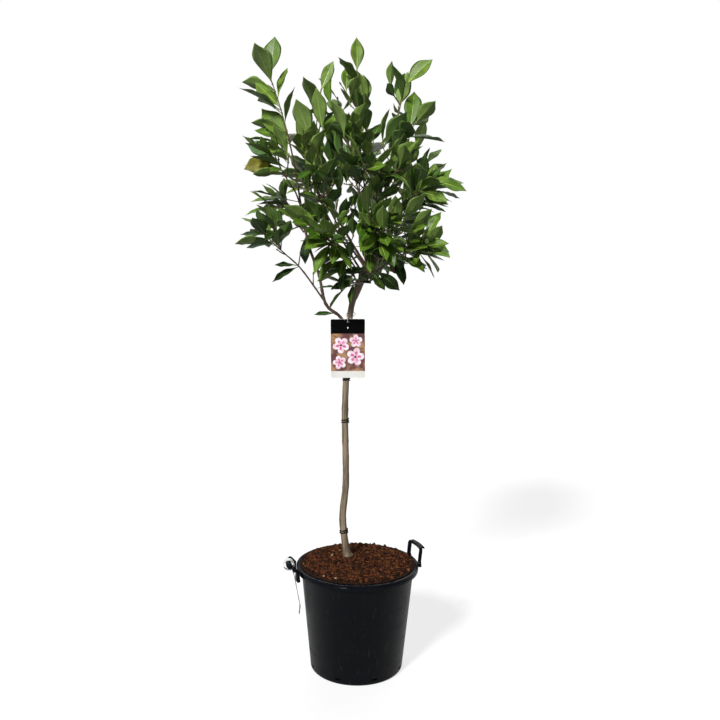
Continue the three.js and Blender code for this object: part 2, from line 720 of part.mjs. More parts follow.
/** An arch over the rim: two feet outside the skirt, two legs, and a lipped grip. */
function handleSolid(place) {
  const { thick, leg, grip, lip, lipThick, foot, corner } = HANDLE;
  const tall = HANDLE.tall - place.sunk;
  const drop = HANDLE.drop + place.sunk;
  const half = (THREE.MathUtils.degToRad(HANDLE.sweep) * POT.rim) / 2;
  const bar = (height, reach) => [-1, -0.5, 0, 0.5, 1].map((share) => [share * reach, height]);
  const outline = [
    [-half - foot, -drop], [-half + leg + foot, -drop], [-half + leg, 0],
    [-half + leg, tall - grip - corner],
    ...bar(tall - grip, half - leg - corner),
    [half - leg, tall - grip - corner], [half - leg, 0], [half - leg - foot, -drop], [half + foot, -drop],
    [half, 0], [half, tall - corner],
    ...bar(tall, half - corner).reverse(),
    [-half, tall - corner], [-half, 0],
  ];
  const shape = new THREE.Shape(outline.map(([x, y]) => new THREE.Vector2(x, y)));
  const arch = new THREE.ExtrudeGeometry(shape, { depth: thick, bevelEnabled: false, steps: 1 });
  arch.rotateX(Math.PI / 2).translate(0, thick, 0);
  const edge = new THREE.BoxGeometry(2 * (half - corner), lip + 1, lipThick, 4, 1, 1);
  edge.translate(0, thick + (lip - 1) / 2, tall - lipThick / 2);
  return solidOf(bendRoundRim(arch, place)).add(solidOf(bendRoundRim(edge, place)));
}

// -------------------------------------------------------------------- ties and tags

/** The stem's centre and radius at a height. */
function stemAt(height) {
  const above = trunk.line.findIndex((point) => point.z > height);
  const low = trunk.line[above - 1];
  const high = trunk.line[above];
  const share = (height - low.z) / (high.z - low.z);
  return {
    centre: low.clone().lerp(high, share),
    radius: THREE.MathUtils.lerp(trunk.radii[above - 1], trunk.radii[above], share),
  };
}

/** Two turns of soft tie round the stem, in one ring with a waist. */
function tieSolid(height) {
  const { centre, radius } = stemAt(height);
  const inner = radius + TIE.stand;
  const half = TIE.width / 2;
  const ring = turned([
    [inner, -half],
    [inner + TIE.thick, -0.6 * half],
    [inner + 0.4 * TIE.thick, 0],
    [inner + TIE.thick, 0.6 * half],
    [inner, half],
    [inner, -half],
  ], TRUNK.sides);
  ring.rotateY(-THREE.MathUtils.degToRad(TIE.slope));
  return solidOf(ring.translate(centre.x, centre.y, height));
}

/** The hanging picture card: a thin sheet with round corners and a punched hole. */
function labelSolid() {
  const { width, tall, thick, corner, hole, holeDrop, top, turn } = LABEL;
  const half = width / 2;
  const card = new THREE.Shape();
  card.absarc(half - corner, -corner, corner, Math.PI / 2, 0, true);
  card.absarc(half - corner, corner - tall, corner, 0, -Math.PI / 2, true);
  card.absarc(corner - half, corner - tall, corner, -Math.PI / 2, -Math.PI, true);
  card.absarc(corner - half, -corner, corner, Math.PI, Math.PI / 2, true);
  const punched = new THREE.Path().absarc(0, -holeDrop, hole / 2, 0, 2 * Math.PI);
  card.holes.push(punched);
  const settings = { depth: thick, bevelEnabled: false, curveSegments: 4 };
  const sheet = new THREE.ExtrudeGeometry(card, settings);
  sheet.rotateX(Math.PI / 2).translate(0, thick / 2, 0);
  sheet.rotateY(-THREE.MathUtils.degToRad(turn));
  return solidOf(sheet.translate(...top));
}

/** The card's loop: in by its hole, up behind it round the stem, down in front to a lock. */
function labelLoopSolid() {
  const [x, y, top] = LABEL.top;
  const { radius, climb, ply, lock } = LOOP;
  const hole = top - LABEL.holeDrop;
  const { centre } = stemAt(hole + climb);
  const shut = [x, y - ply, top + ply];
  const line = smoothLine([
    shut,
    [x, y - ply, hole + ply],
    [x, y, hole],
    [x + 1, y + ply, hole + 1],
    [x + radius / 2, y + ply + 1, top],
    [centre.x + radius, centre.y, hole + 0.7 * climb],
    [centre.x, centre.y + radius, hole + climb],
    [centre.x - radius, centre.y, hole + 0.7 * climb],
    [x - radius / 3, y + 1, top + 1.6 * ply],
    shut,
  ], 2);
  const strand = limbGeometry(line, line.map(() => LOOP.thick / 2), 5);
  const clasp = new THREE.BoxGeometry(lock, lock, lock).translate(...shut);
  return solidOf(strand).add(solidOf(clasp));
}

/** A paper strip looped over the left grip, its two ends stuck together below it. */
function stripTagSolid() {
  const { width, thick, eye, tail, azimuth } = STRIP;
  const outer = new THREE.Shape();
  outer.absellipse(eye.out, eye.up, eye.across, eye.tall, 0, 2 * Math.PI);
  const inner = new THREE.Path();
  inner.absellipse(eye.out, eye.up, eye.across - thick, eye.tall - thick, 0, 2 * Math.PI);
  outer.holes.push(inner);
  const band = tail.map(([out, up]) => new THREE.Vector2(out - thick / 2, up))
    .concat([...tail].reverse().map(([out, up]) => new THREE.Vector2(out + thick / 2, up)));
  const extrude = (shape) => {
    const settings = { depth: width, bevelEnabled: false, curveSegments: 16 };
    const geometry = new THREE.ExtrudeGeometry(shape, settings);
    geometry.rotateX(Math.PI / 2).translate(0, width / 2, 0);
    return solidOf(geometry.rotateZ(THREE.MathUtils.degToRad(azimuth)));
  };
  return extrude(outer).add(extrude(new THREE.Shape(band)));
}

// ---------------------------------------------------------------------- the assembly

const model = new THREE.Group();
const add = (name, solid, material) => model.add(meshOf(name, solid, material));

add('pot', potSolid(), materials.pot);
add('soil', soilSolid(), materials.soil);
for (const [name, place] of Object.entries(HANDLES)) add(name, handleSolid(place), materials.pot);

// every limb is cut back to stand clear of the ones that carry it
add('trunk', limbSolid(trunk), materials.bark);
const taken = [limbSolid(trunk, GAP)];
for (const [name, bough] of Object.entries(boughs)) {
  add(`bough_${name}`, limbSolid(bough).subtract(wasm.Manifold.union(taken)), materials.twig);
  taken.push(limbSolid(bough, GAP));
}
const limbRoom = wasm.Manifold.union(taken);
for (const name of Object.keys(masses)) {
  add(`foliage_${name}`, growMass(name).subtract(limbRoom), materials.leaf);
}

for (const [name, height] of Object.entries(TIE.heights)) add(name, tieSolid(height), materials.tie);
add('label', labelSolid(), materials.card);
add('label_loop', labelLoopSolid(), materials.strip);
add('handle_strip', stripTagSolid(), materials.strip);

export default model;
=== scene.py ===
# %% [markdown]
# # A young magnolia in its container
# The plant is a standard: one clear stem, pruned short at its head, with a loose crown
# of long leafy shoots. It stands in a black nursery pot. The frame holds every solid
# at its real size. Here each one gets the surface that the real thing has: bark,
# blades with their ribs, moulded plastic, loose potting soil, a printed card.
# The solids stay as they are, and the meshes made below stand in for them.

import itertools
import math

import bpy
import numpy as np
from mathutils import Matrix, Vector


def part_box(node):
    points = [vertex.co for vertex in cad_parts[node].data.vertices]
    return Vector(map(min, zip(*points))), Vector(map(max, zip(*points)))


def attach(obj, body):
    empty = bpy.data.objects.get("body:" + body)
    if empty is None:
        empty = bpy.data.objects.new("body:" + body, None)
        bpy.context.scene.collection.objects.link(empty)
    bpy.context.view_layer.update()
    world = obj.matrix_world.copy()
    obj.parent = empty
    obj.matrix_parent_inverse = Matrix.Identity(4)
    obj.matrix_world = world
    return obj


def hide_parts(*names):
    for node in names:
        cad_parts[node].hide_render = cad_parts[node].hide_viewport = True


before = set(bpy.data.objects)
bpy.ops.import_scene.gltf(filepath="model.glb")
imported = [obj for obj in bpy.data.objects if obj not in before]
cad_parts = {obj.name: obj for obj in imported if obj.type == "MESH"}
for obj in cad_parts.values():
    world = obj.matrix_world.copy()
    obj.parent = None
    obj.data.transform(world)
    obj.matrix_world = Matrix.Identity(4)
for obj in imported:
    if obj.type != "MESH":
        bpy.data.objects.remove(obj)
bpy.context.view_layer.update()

# %% [markdown]
# Plants and pots are measured in millimetres, so the sizes below are millimetres too.
# Only a finished mesh is turned into metres, in one place: the function that makes it.
# A skin is kept as a table of points and a table of faces. Faces have four corners,
# and -1 in the fourth place makes a triangle. Filling a mesh from whole tables is
# hundreds of times faster than adding its faces one by one.

# %% Meshes from tables
MM = 0.001


def mesh_object(name, points, faces, looks, slots=0, crease=None):
    """An object from tables of points and faces; `crease` keeps steeper edges sharp."""
    faces = np.asarray(faces)
    sizes = (faces >= 0).sum(1)
    corners = faces[faces >= 0]
    mesh = bpy.data.meshes.new(name)
    mesh.vertices.add(len(points))
    mesh.vertices.foreach_set("co", (np.asarray(points) * MM).astype(np.float32).ravel())
    mesh.loops.add(len(corners))
    mesh.loops.foreach_set("vertex_index", corners.astype(np.int32))
    mesh.polygons.add(len(faces))
    mesh.polygons.foreach_set("loop_start", (np.cumsum(sizes) - sizes).astype(np.int32))
    mesh.polygons.foreach_set("material_index", np.broadcast_to(slots, len(faces)).astype(np.int32))
    mesh.update(calc_edges=True)
    mesh.shade_smooth()
    if crease is not None:
        mesh.set_sharp_from_angle(angle=math.radians(crease))
    for look in looks:
        mesh.materials.append(look)
    piece = bpy.data.objects.new(name, mesh)
    bpy.context.scene.collection.objects.link(piece)
    return piece


class Heap:
    """Gathers many skins, and makes one piece of them."""

    def __init__(self):
        self.points = []
        self.faces = []
        self.slots = []
        self.count = 0

    def add(self, skin, slot=0):
        points, faces = skin
        self.points.append(points)
        self.faces.append(np.where(faces < 0, -1, faces + self.count))
        self.slots.append(np.broadcast_to(slot, len(faces)))
        self.count += len(points)

    def piece(self, name, looks, crease=None):
        points = np.concatenate(self.points)
        faces = np.concatenate(self.faces)
        return mesh_object(name, points, faces, looks, np.concatenate(self.slots), crease)


def triangles(piece):
    """How many triangles a piece has once its faces are split into triangles."""
    mesh = piece.data
    return len(mesh.loops) - 2 * len(mesh.polygons)


def belongs(piece, slot, *nodes):
    """The piece rides with the plant and stands for `nodes`, whose solids it hides; `slot` is not used."""
    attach(piece, "root")
    if nodes:
        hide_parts(*nodes)
    return piece


# %% [markdown]
# Almost everything on a plant is a tapering tube that bends. A tube is a row of rings
# along a line. To keep it from twisting, each ring takes its upward spoke from the
# ring before and only tips it square to the new heading. A curve with a bevel would
# do for plain tubes, but rings let bark relief move every point in or out by itself.

# %% Tubes
def unit(vector):
    """The same heading with length 1, for one vector or a table of them."""
    return vector / np.linalg.norm(vector, axis=-1, keepdims=True)


def round_turns(count):
    """Angles of `count` points evenly round a circle."""
    return np.linspace(0, 2 * math.pi, count, endpoint=False)


def round_axis(radius, turn, height):
    """Points about the upright axis, from their distance to it, their turn and their height."""
    return np.stack(np.broadcast_arrays(radius * np.cos(turn), radius * np.sin(turn), height), -1)


def ring_skin(rings):
    """Skin over rings of equal size, each end closed by a fan."""
    rows, sides = rings.shape[:2]
    index = np.arange(rows * sides).reshape(rows, sides)
    following = np.roll(index, -1, axis=1)
    walls = np.stack([index[:-1], following[:-1], following[1:], index[1:]], -1).reshape(-1, 4)
    first = rows * sides
    none = np.full(sides, -1)
    foot = np.stack([np.full(sides, first), following[0], index[0], none], -1)
    head = np.stack([np.full(sides, first + 1), index[-1], following[-1], none], -1)
    points = np.concatenate([rings.reshape(-1, 3), [rings[0].mean(0)], [rings[-1].mean(0)]])
    return points, np.concatenate([walls, foot, head])


def frames_along(line):
    """Upward spoke and side spoke at each point of a line, without twist."""
    heading = unit(np.gradient(line, axis=0))
    spoke = np.eye(3)[np.argmin(np.abs(heading[0]))]
    ups = []
    for ahead in heading:
        spoke = unit(spoke - spoke.dot(ahead) * ahead)
        ups.append(spoke)
    return np.array(ups), np.cross(heading, ups)


def tube(line, radii, sides):
    """A closed tube; `radii` is one number, one a ring, or one a point of each ring."""
    line = np.asarray(line, float)
    ups, across = frames_along(line)
    turns = round_turns(sides)
    spokes = ups[:, None] * np.cos(turns)[:, None] + across[:, None] * np.sin(turns)[:, None]
    radii = np.broadcast_to(np.transpose(radii), (sides, len(line))).T
    return ring_skin(line[:, None] + spokes * radii[..., None])


def spline(places, steps):
    """Smooth line (Catmull-Rom) through all the places, with `steps` points from one to the next."""
    row = np.asarray(places, float)
    row = np.concatenate([[2 * row[0] - row[1]], row, [2 * row[-1] - row[-2]]])
    t = np.linspace(0, 1, steps, endpoint=False)[:, None]
    points = []
    for before, start, end, after in zip(row, row[1:], row[2:], row[3:]):
        bend = 2 * before - 5 * start + 4 * end - after
        twist = 3 * start - before - 3 * end + after
        points.append(start + 0.5 * ((end - before) * t + bend * t**2 + twist * t**3))
    points.append(row[-2:-1])
    return np.concatenate(points)


def even_steps(line, values, step):
    """The line again with a point every `step`, the values there, and the way travelled."""
    travelled = np.concatenate([[0], np.cumsum(np.linalg.norm(np.diff(line, axis=0), axis=1))])
    marks = np.linspace(0, travelled[-1], max(round(travelled[-1] / step), 2) + 1)
    points = np.stack([np.interp(marks, travelled, line[:, axis]) for axis in range(3)], 1)
    return points, np.interp(marks, travelled, values), marks


# %% [markdown]
# The camera stands where it sees the whole plant from its front, a little above the
# middle. It looks slightly down and is held slightly askew. Two plain turns, one about
# its own side and one about its own line of sight, are easier to follow than three.

# %% The camera
CAMERA = {"place": (0, -2580, 1290), "down": 6.0, "askew": 0.7, "lens": 40.5, "sensor": 36}

camera_data = bpy.data.cameras.new("camera")
camera_data.lens = CAMERA["lens"]
camera_data.sensor_width = CAMERA["sensor"]
camera = bpy.data.objects.new("camera", camera_data)
camera.location = [MM * place for place in CAMERA["place"]]
tilt = Matrix.Rotation(math.radians(90 - CAMERA["down"]), 3, "X")
roll = Matrix.Rotation(math.radians(CAMERA["askew"]), 3, "Z")
camera.rotation_euler = (tilt @ roll).to_euler()
bpy.context.scene.collection.objects.link(camera)
bpy.context.scene.camera = camera
print("camera:", CAMERA)

# %% [markdown]
# A material and a background are both made of nodes. Two small functions do what every
# one of them needs: one fills in the sockets of a node, the other draws the wires
# from node to node.

# %% Nodes
def set_values(node, values):
    """Fills in the sockets of a node that have one value everywhere."""
    for socket, value in values.items():
        node.inputs[socket].default_value = value


def wire(tree, *wires):
    """Draws wires; each is a node, its output, the next node, and its input."""
    for source, output, target, socket in wires:
        tree.links.new(source.outputs[output], target.inputs[socket])


# %% [markdown]
# Soft studio light: one broad lamp from the upper left front, a weaker one from the
# right, one from behind so that the back isn't dull, and pale light from all round.
# Sun lamps with a wide angle do this evenly over the whole floor, so floor and
# background meet without a line. An area lamp would leave a bright pool. The camera
# sees a brighter background than the plant does: Light Path tells the two apart.

# %% Light
LAMPS = {
    "key": {"tip": 55, "from": -28, "power": 4.5, "soft": 10},
    "fill": {"tip": 84, "from": 24, "power": 0.8, "soft": 40},
    "back": {"tip": 40, "from": 170, "power": 1.4, "soft": 60},
}
WHITE_LIGHT = (1, 1, 1, 1)
SURROUND = 0.08  # light that reaches the plant from all round
BACKDROP = 1.0  # what the camera sees behind it

for name, lamp in LAMPS.items():
    sun = bpy.data.lights.new(name, "SUN")
    sun.energy = lamp["power"]
    sun.angle = math.radians(lamp["soft"])
    holder = bpy.data.objects.new(name, sun)
    holder.rotation_euler = (math.radians(lamp["tip"]), 0, math.radians(lamp["from"]))
    bpy.context.scene.collection.objects.link(holder)

world = bpy.data.worlds.new("studio")
world.use_nodes = True
sky = world.node_tree
around = sky.nodes["Background"]
set_values(around, {"Color": WHITE_LIGHT, "Strength": SURROUND})
seen = sky.nodes.new("ShaderNodeBackground")
set_values(seen, {"Color": WHITE_LIGHT, "Strength": BACKDROP})
path = sky.nodes.new("ShaderNodeLightPath")
choose = sky.nodes.new("ShaderNodeMixShader")
wire(
    sky,
    (path, "Is Camera Ray", choose, "Fac"),
    (around, "Background", choose, 1),
    (seen, "Background", choose, 2),
    (choose, "Shader", sky.nodes["World Output"], "Surface"),
)
bpy.context.scene.world = world
bpy.context.scene.view_settings.view_transform = "Standard"
print("lamps:", list(LAMPS))

# %% [markdown]
# The floor is a lit table, wide enough to reach the horizon. It shines by itself for the
# larger part, and only the rest of its brightness comes from the lamps, which keeps the
# shadows faint. It throws no light up into the crown.

# %% Floor
FLOOR = {"half": 30_000, "pale": 0.95, "rough": 0.9, "specular": 0.1, "glow": 0.7}

floor_look = bpy.data.materials.new("pale_floor")
floor_look.use_nodes = True
pale = FLOOR["pale"] * (1 - FLOOR["glow"])
set_values(floor_look.node_tree.nodes["Principled BSDF"], {
    "Base Color": (pale, pale, pale, 1), "Roughness": FLOOR["rough"], "Specular IOR Level": FLOOR["specular"],
    "Emission Color": WHITE_LIGHT, "Emission Strength": FLOOR["glow"],
})
floor_corners = np.array([[-1, -1, 0], [1, -1, 0], [1, 1, 0], [-1, 1, 0]]) * FLOOR["half"]
floor = mesh_object("studio_floor", floor_corners, [[0, 1, 2, 3]], [floor_look])
floor.visible_diffuse = False
print("floor:", 2 * FLOOR["half"] * MM, "m across")

# %% [markdown]
# Two effects return in most of the finishes, so each is a node group with named
# sockets. `mottle` mixes two colours in soft patches, which can be stretched along
# one way into streaks. `relief` gives a height that a Bump node turns into a normal.
# Both put out only values that change over the surface. The shader itself, and each
# number that is the same everywhere, stays in the material.

# %% Shared effects
def new_group(name, inputs, outputs):
    """A node group with its sockets, and its two end nodes."""
    group = bpy.data.node_groups.new(name, "ShaderNodeTree")
    for socket, (kind, value) in inputs.items():
        item = group.interface.new_socket(socket, in_out="INPUT", socket_type=kind)
        item.default_value = value
    for socket, kind in outputs.items():
        group.interface.new_socket(socket, in_out="OUTPUT", socket_type=kind)
    return group, group.nodes.new("NodeGroupInput"), group.nodes.new("NodeGroupOutput")


def stretched_noise(group, ends, detail):
    """Noise on the object's own coordinates, scaled by the group's Stretch and Scale."""
    where = group.nodes.new("ShaderNodeTexCoord")
    shape = group.nodes.new("ShaderNodeVectorMath")
    shape.operation = "MULTIPLY"
    pattern = group.nodes.new("ShaderNodeTexNoise")
    set_values(pattern, {"Detail": detail})
    wire(
        group,
        (where, "Object", shape, 0),
        (ends, "Stretch", shape, 1),
        (shape, "Vector", pattern, "Vector"),
        (ends, "Scale", pattern, "Scale"),
    )
    return pattern


COLOUR = "NodeSocketColor"
NUMBER = "NodeSocketFloat"
PLAIN = ("NodeSocketVector", (1, 1, 1))
MOTTLE_DETAIL, RELIEF_DETAIL = 4.0, 5.0

mottle, start, end = new_group(
    "mottle",
    {"Ground": (COLOUR, (0, 0, 0, 1)), "Patches": (COLOUR, (1, 1, 1, 1)), "Scale": (NUMBER, 50.0),
     "Low": (NUMBER, 0.4), "High": (NUMBER, 0.6), "Stretch": PLAIN},
    {"Colour": COLOUR, "Mask": NUMBER},
)
pattern = stretched_noise(mottle, start, MOTTLE_DETAIL)
spread = mottle.nodes.new("ShaderNodeMapRange")
spread.interpolation_type = "SMOOTHSTEP"
blend = mottle.nodes.new("ShaderNodeMix")
blend.data_type = "RGBA"
wire(
    mottle,
    (pattern, "Fac", spread, "Value"),
    (start, "Low", spread, "From Min"),
    (start, "High", spread, "From Max"),
    (spread, "Result", blend, "Factor"),
    (start, "Ground", blend, "A"),
    (start, "Patches", blend, "B"),
    (blend, "Result", end, "Colour"),
    (spread, "Result", end, "Mask"),
)

relief, start, end = new_group(
    "relief", {"Scale": (NUMBER, 200.0), "Stretch": PLAIN}, {"Height": NUMBER},
)
wire(relief, (stretched_noise(relief, start, RELIEF_DETAIL), "Fac", end, "Height"))
print("groups:", [group.name for group in bpy.data.node_groups])

# %% [markdown]
# One function makes every finish from those two groups: a mottled colour, a relief,
# and a roughness that follows the mottling. Where a surface has marks of its own, such
# as scuffs, a second mottling is laid over the first. Colours are written as they look
# on a screen, from 0 to 255, and turned into the linear values that the shader wants.

# %% A finish
def linear(colour):
    """Screen colour 0-255 as linear light."""
    share = np.asarray(colour) / 255
    low = share / 12.92
    high = ((share + 0.055) / 1.055) ** 2.4
    return (*np.where(share < 0.04045, low, high), 1)


def placed_group(tree, group, values):
    """A node group placed in a material, with that material's own values."""
    node = tree.nodes.new("ShaderNodeGroup")
    node.node_tree = group
    set_values(node, values)
    return node


def mottled(tree, patches, scale, stretch, span):
    """The mottling, whose ground is still to be given."""
    values = {"Patches": linear(patches), "Scale": scale, "Stretch": stretch, "Low": span[0], "High": span[1]}
    return placed_group(tree, mottle, values)


def finish(name, ground, patches, scale, rough, relief_scale, depth,
           stretch=(1, 1, 1), span=(0.4, 0.6), specular=0.5):
    """Mottled colour, roughness from rough[0] to rough[1], and a relief `depth` mm deep.

    The scales say how fine the mottling and the relief are, and the span how sharply
    the ground turns into patches.
    """
    look = bpy.data.materials.new(name)
    look.use_nodes = True
    tree = look.node_tree
    shader = tree.nodes["Principled BSDF"]
    set_values(shader, {"Specular IOR Level": specular})
    patchy = mottled(tree, patches, scale, stretch, span)
    set_values(patchy, {"Ground": linear(ground)})
    dullness = tree.nodes.new("ShaderNodeMapRange")
    set_values(dullness, {"To Min": rough[0], "To Max": rough[1]})
    grain = placed_group(tree, relief, {"Scale": relief_scale, "Stretch": stretch})
    bump = tree.nodes.new("ShaderNodeBump")
    set_values(bump, {"Distance": depth * MM})
    wire(
        tree,
        (patchy, "Colour", shader, "Base Color"),
        (patchy, "Mask", dullness, "Value"),
        (dullness, "Result", shader, "Roughness"),
        (grain, "Height", bump, "Height"),
        (bump, "Normal", shader, "Normal"),
    )
    return look


def add_marks(look, marks, scale, stretch, span):
    """Lays marks over a finish, where a second mottling is above the span."""
    tree = look.node_tree
    colour = tree.nodes["Principled BSDF"].inputs["Base Color"]
    over = mottled(tree, marks, scale, stretch, span)
    tree.links.new(colour.links[0].from_socket, over.inputs["Ground"])
    tree.links.new(over.outputs["Colour"], colour)


# %% [markdown]
# ## Stem and boughs
# The stem of a young magnolia is smooth and grey-brown, with faint lengthwise streaks
# and old leaf scars. It stands on a slightly flared foot, and ends in a knobby head
# where it was pruned. Its line and thickness repeat the solid's own stations. A ring
# every few millimetres carries the relief: shallow ribs, and a swelling at each scar.

# %% The stem's line
TRUNK = [
    ((-33, 33, 356), 17), ((-39, 33, 386), 12), ((-51, 33, 492), 11.5), ((-42, 33, 617), 10.5),
    ((-47, 33, 851), 10.5), ((-38, 33, 1096), 9.5), ((-29, 33, 1190), 9.5), ((-12, 33, 1241), 12),
    ((12, 33, 1303), 14), ((19, 33, 1332), 9),
]
TRUNK_STEPS = 2  # of the solid, between two stations
FINE = 20  # steps here for each step there
RING_STEP = 3.0  # mm from ring to ring
WANDER, WANDER_OVER = 1.3, 3.7  # radians, and how many wave lengths it takes


def trunk_line(steps):
    """The stem's centre line and its radii, as the solid has them."""
    places, radii = zip(*TRUNK)
    line = spline(places, steps)
    return line, np.interp(np.arange(len(line)) / steps, np.arange(len(radii)), radii)


def ripple(turns, way, waves, seed):
    """Soft bumps over a tube's skin: waves as (number round, length along, height).

    Each wave wanders sideways as it runs along, so that no straight ribs show.
    """
    chance = np.random.default_rng(seed)
    height = np.zeros((len(way), len(turns)))
    for around, length, amount in waves:
        offset, drift = chance.uniform(0, 2 * math.pi, 2)
        wander = WANDER * np.sin(way[:, None] / (WANDER_OVER * length) + drift)
        phase = around * turns[None] + wander + offset
        height += amount * np.sin(phase + 2 * math.pi * way[:, None] / length)
    return height


line, radii, way = even_steps(*trunk_line(TRUNK_STEPS * FINE), RING_STEP)
print(f"stem: {way[-1]:.0f} mm long, {len(line)} rings")

# %% [markdown]
# Bark colours: grey-beige with brown streaks along the stem, dark purple-brown on the
# boughs, green near the tips of the twigs. Streaks come from squeezing the pattern's
# coordinates: a small factor along the height draws the patches out lengthwise. Over
# them the stem has broader blotches, where the sun has bleached it.

# %% Bark
BARKS = {  # ground, patches, scale, roughness, the relief's scale and depth, stretch, span
    "grey_bark": ((80, 68, 51), (126, 113, 90), 150, (0.75, 0.9), 700, 0.7, (1, 1, 0.08), (0.36, 0.62)),
    "knobby_bark": ((92, 72, 56), (128, 108, 84), 160, (0.8, 0.95), 420, 1.2, (1, 1, 0.5)),
    "young_bark": ((58, 38, 33), (86, 62, 50), 240, (0.6, 0.8), 500, 0.5, (1, 1, 0.4)),
    "twig_bark": ((66, 45, 36), (92, 74, 50), 240, (0.55, 0.75), 500, 0.3, (1, 1, 0.5)),
    "green_twig": ((98, 104, 56), (84, 78, 48), 200, (0.5, 0.65), 500, 0.2),
    "buds": ((120, 138, 70), (104, 92, 60), 300, (0.6, 0.7), 600, 0.2),
}
BARK_LOOK, HEAD_LOOK, BOUGH_LOOK, TWIG_LOOK, SPRIG_LOOK, BUD_LOOK = (
    finish(name, *values) for name, values in BARKS.items())
add_marks(BARK_LOOK, (132, 112, 91), scale=20, stretch=(1, 1, 0.5), span=(0.46, 0.66))
print("bark finishes:", len(BARKS))

# %% [markdown]
# The flare is a handful of low ridges that run up from the foot and fade. The head is
# coarser: its knobs are longer waves with more height. Scars are raised rings, sharp
# below and soft above.

# %% The stem
STEM_SIDES = 44
RIB_WAVES = [(5, 900, 0.35), (9, 420, 0.22), (17, 260, 0.13), (2, 75, 0.25), (3, 31, 0.12)]
SCARS = [128, 236, 390, 498, 655, 770, 868]  # along the stem, mm
SCAR = {"high": 0.9, "below": 2.0, "above": 6.0}
FLARE = {"all_round": 1.2, "ridge": 2.0, "ridges": 5, "turn": 0.6, "fades_over": 16}
HEAD_START, HEAD_FULL = 1232, 1272  # heights where the knobs begin, and where they are full
KNOB_WAVES = [(2, 46, 1.0), (3, 30, 0.9), (5, 19, 0.5), (7, 12, 0.3)]

turns = round_turns(STEM_SIDES)
ribs = ripple(turns, way, RIB_WAVES, seed=11)
for scar in SCARS:
    fade = np.where(way < scar, SCAR["below"], SCAR["above"])
    ribs += (SCAR["high"] * np.exp(-np.abs(way - scar) / fade))[:, None]
ridges = FLARE["all_round"] + FLARE["ridge"] * np.cos(FLARE["ridges"] * turns + FLARE["turn"])
flare = np.exp(-way / FLARE["fades_over"])[:, None] * ridges[None]
head = np.clip((line[:, 2] - HEAD_START) / (HEAD_FULL - HEAD_START), 0, 1)[:, None]
knobs = ripple(turns, way, KNOB_WAVES, seed=12)
points, faces = tube(line, radii[:, None] + ribs + flare + head * knobs, STEM_SIDES)
points[:STEM_SIDES, 2] = line[0, 2]  # the foot is cut flat on the soil, rim and middle
points[-2, 2] = line[0, 2]
on_head = np.concatenate([
    np.repeat(line[:-1, 2] > HEAD_START, STEM_SIDES), np.zeros(STEM_SIDES), np.ones(STEM_SIDES)])
stem = mesh_object("stem_bark", points, faces, [BARK_LOOK, HEAD_LOOK], on_head)
belongs(stem, "bark", "trunk")
print("stem:", triangles(stem), "triangles")

# %% [markdown]
# The boughs keep the places, in order, through which each one runs, from inside the
# limb that carries it to the tip where its leaves begin. Each is its own piece, because
# each stands for its own solid. A collar thickens the foot, where wood has grown over
# the joint, and old nodes show as slight swellings.

# %% The boughs
BOUGHS = {
    "left": (
        [(-40, 33, 1086), (-63, 30, 1151), (-111, 8, 1196), (-132, -22, 1288),
         (-160, -35, 1368), (-182, -40, 1460), (-191, -42, 1518)], 5.8, 3.2),
    "left_low": ([(-107, 9, 1193), (-184, -45, 1303), (-237, -75, 1354)], 3, 2),
    "left_side": ([(-179, -38, 1420), (-205, -20, 1452), (-219, 0, 1484)], 2.4, 1.8),
    "left_mid": ([(-187, -41, 1490), (-202, -65, 1536), (-222, -85, 1567)], 2.6, 2),
    "left_inner": ([(-170, -34, 1399), (-147, 10, 1442), (-127, 50, 1482)], 2.6, 2),
    "centre_left": ([(16, 33, 1318), (-36, 10, 1399), (-84, -5, 1485)], 4.5, 3.2),
    "inner_left": ([(6, 25, 1293), (-51, -40, 1382), (-94, -75, 1450)], 3.5, 2.6),
    "front_left": ([(3, 22, 1283), (-28, -50, 1326), (-53, -95, 1359)], 3, 2.2),
    "centre": ([(19, 33, 1331), (2, 0, 1381), (10, -30, 1484)], 4, 3),
    "middle": ([(22, 28, 1318), (36, -20, 1399), (44, -55, 1465)], 3.2, 2.4),
    "right": ([(25, 33, 1312), (63, 35, 1386), (76, 30, 1524)], 5, 3.6),
    "top": ([(74, 33, 1493), (60, 45, 1560), (40, 52, 1629)], 3.2, 2.4),
    "right_mid": ([(29, 35, 1306), (75, 10, 1376), (101, -10, 1447)], 3.5, 2.6),
    "right_low": ([(32, 33, 1293), (63, 5, 1312), (90, -25, 1331)], 2.8, 2),
    "front": ([(13, 22, 1274), (27, -40, 1324), (36, -80, 1366)], 3, 2.4),
    "back_left": ([(9, 44, 1319), (-51, 110, 1403), (-89, 150, 1471)], 3.5, 2.6),
    "back": ([(15, 45, 1331), (5, 120, 1431), (-3, 150, 1504)], 3.5, 2.6),
    "back_right": ([(28, 44, 1319), (87, 110, 1405), (127, 150, 1473)], 3.5, 2.6),
    "back_low": ([(16, 45, 1280), (32, 95, 1319), (49, 140, 1353)], 2.8, 2.2),
    "back_top": ([(22, 42, 1331), (14, 85, 1451), (-13, 105, 1565)], 4, 3),
}
BOUGH_STEPS = 2  # of the solid, between two places
BOUGH = {"sides": 16, "ring_step": 2.5, "relief": 0.05}  # relief as a share of the radius
COLLAR = {"thicker": 0.35, "fades_over": 9}  # a share of the radius, and mm
NODES = {"thicker": 0.16, "apart": 47, "sharp": 12}
BOUGH_WAVES = [(2, 60, 1), (3, 23, 0.8), (5, 11, 0.5)]


def bough_line(name, steps):
    """A bough's centre line and its radii."""
    places, foot, tip = BOUGHS[name]
    line = spline(places, steps)
    return line, np.linspace(foot, tip, len(line))


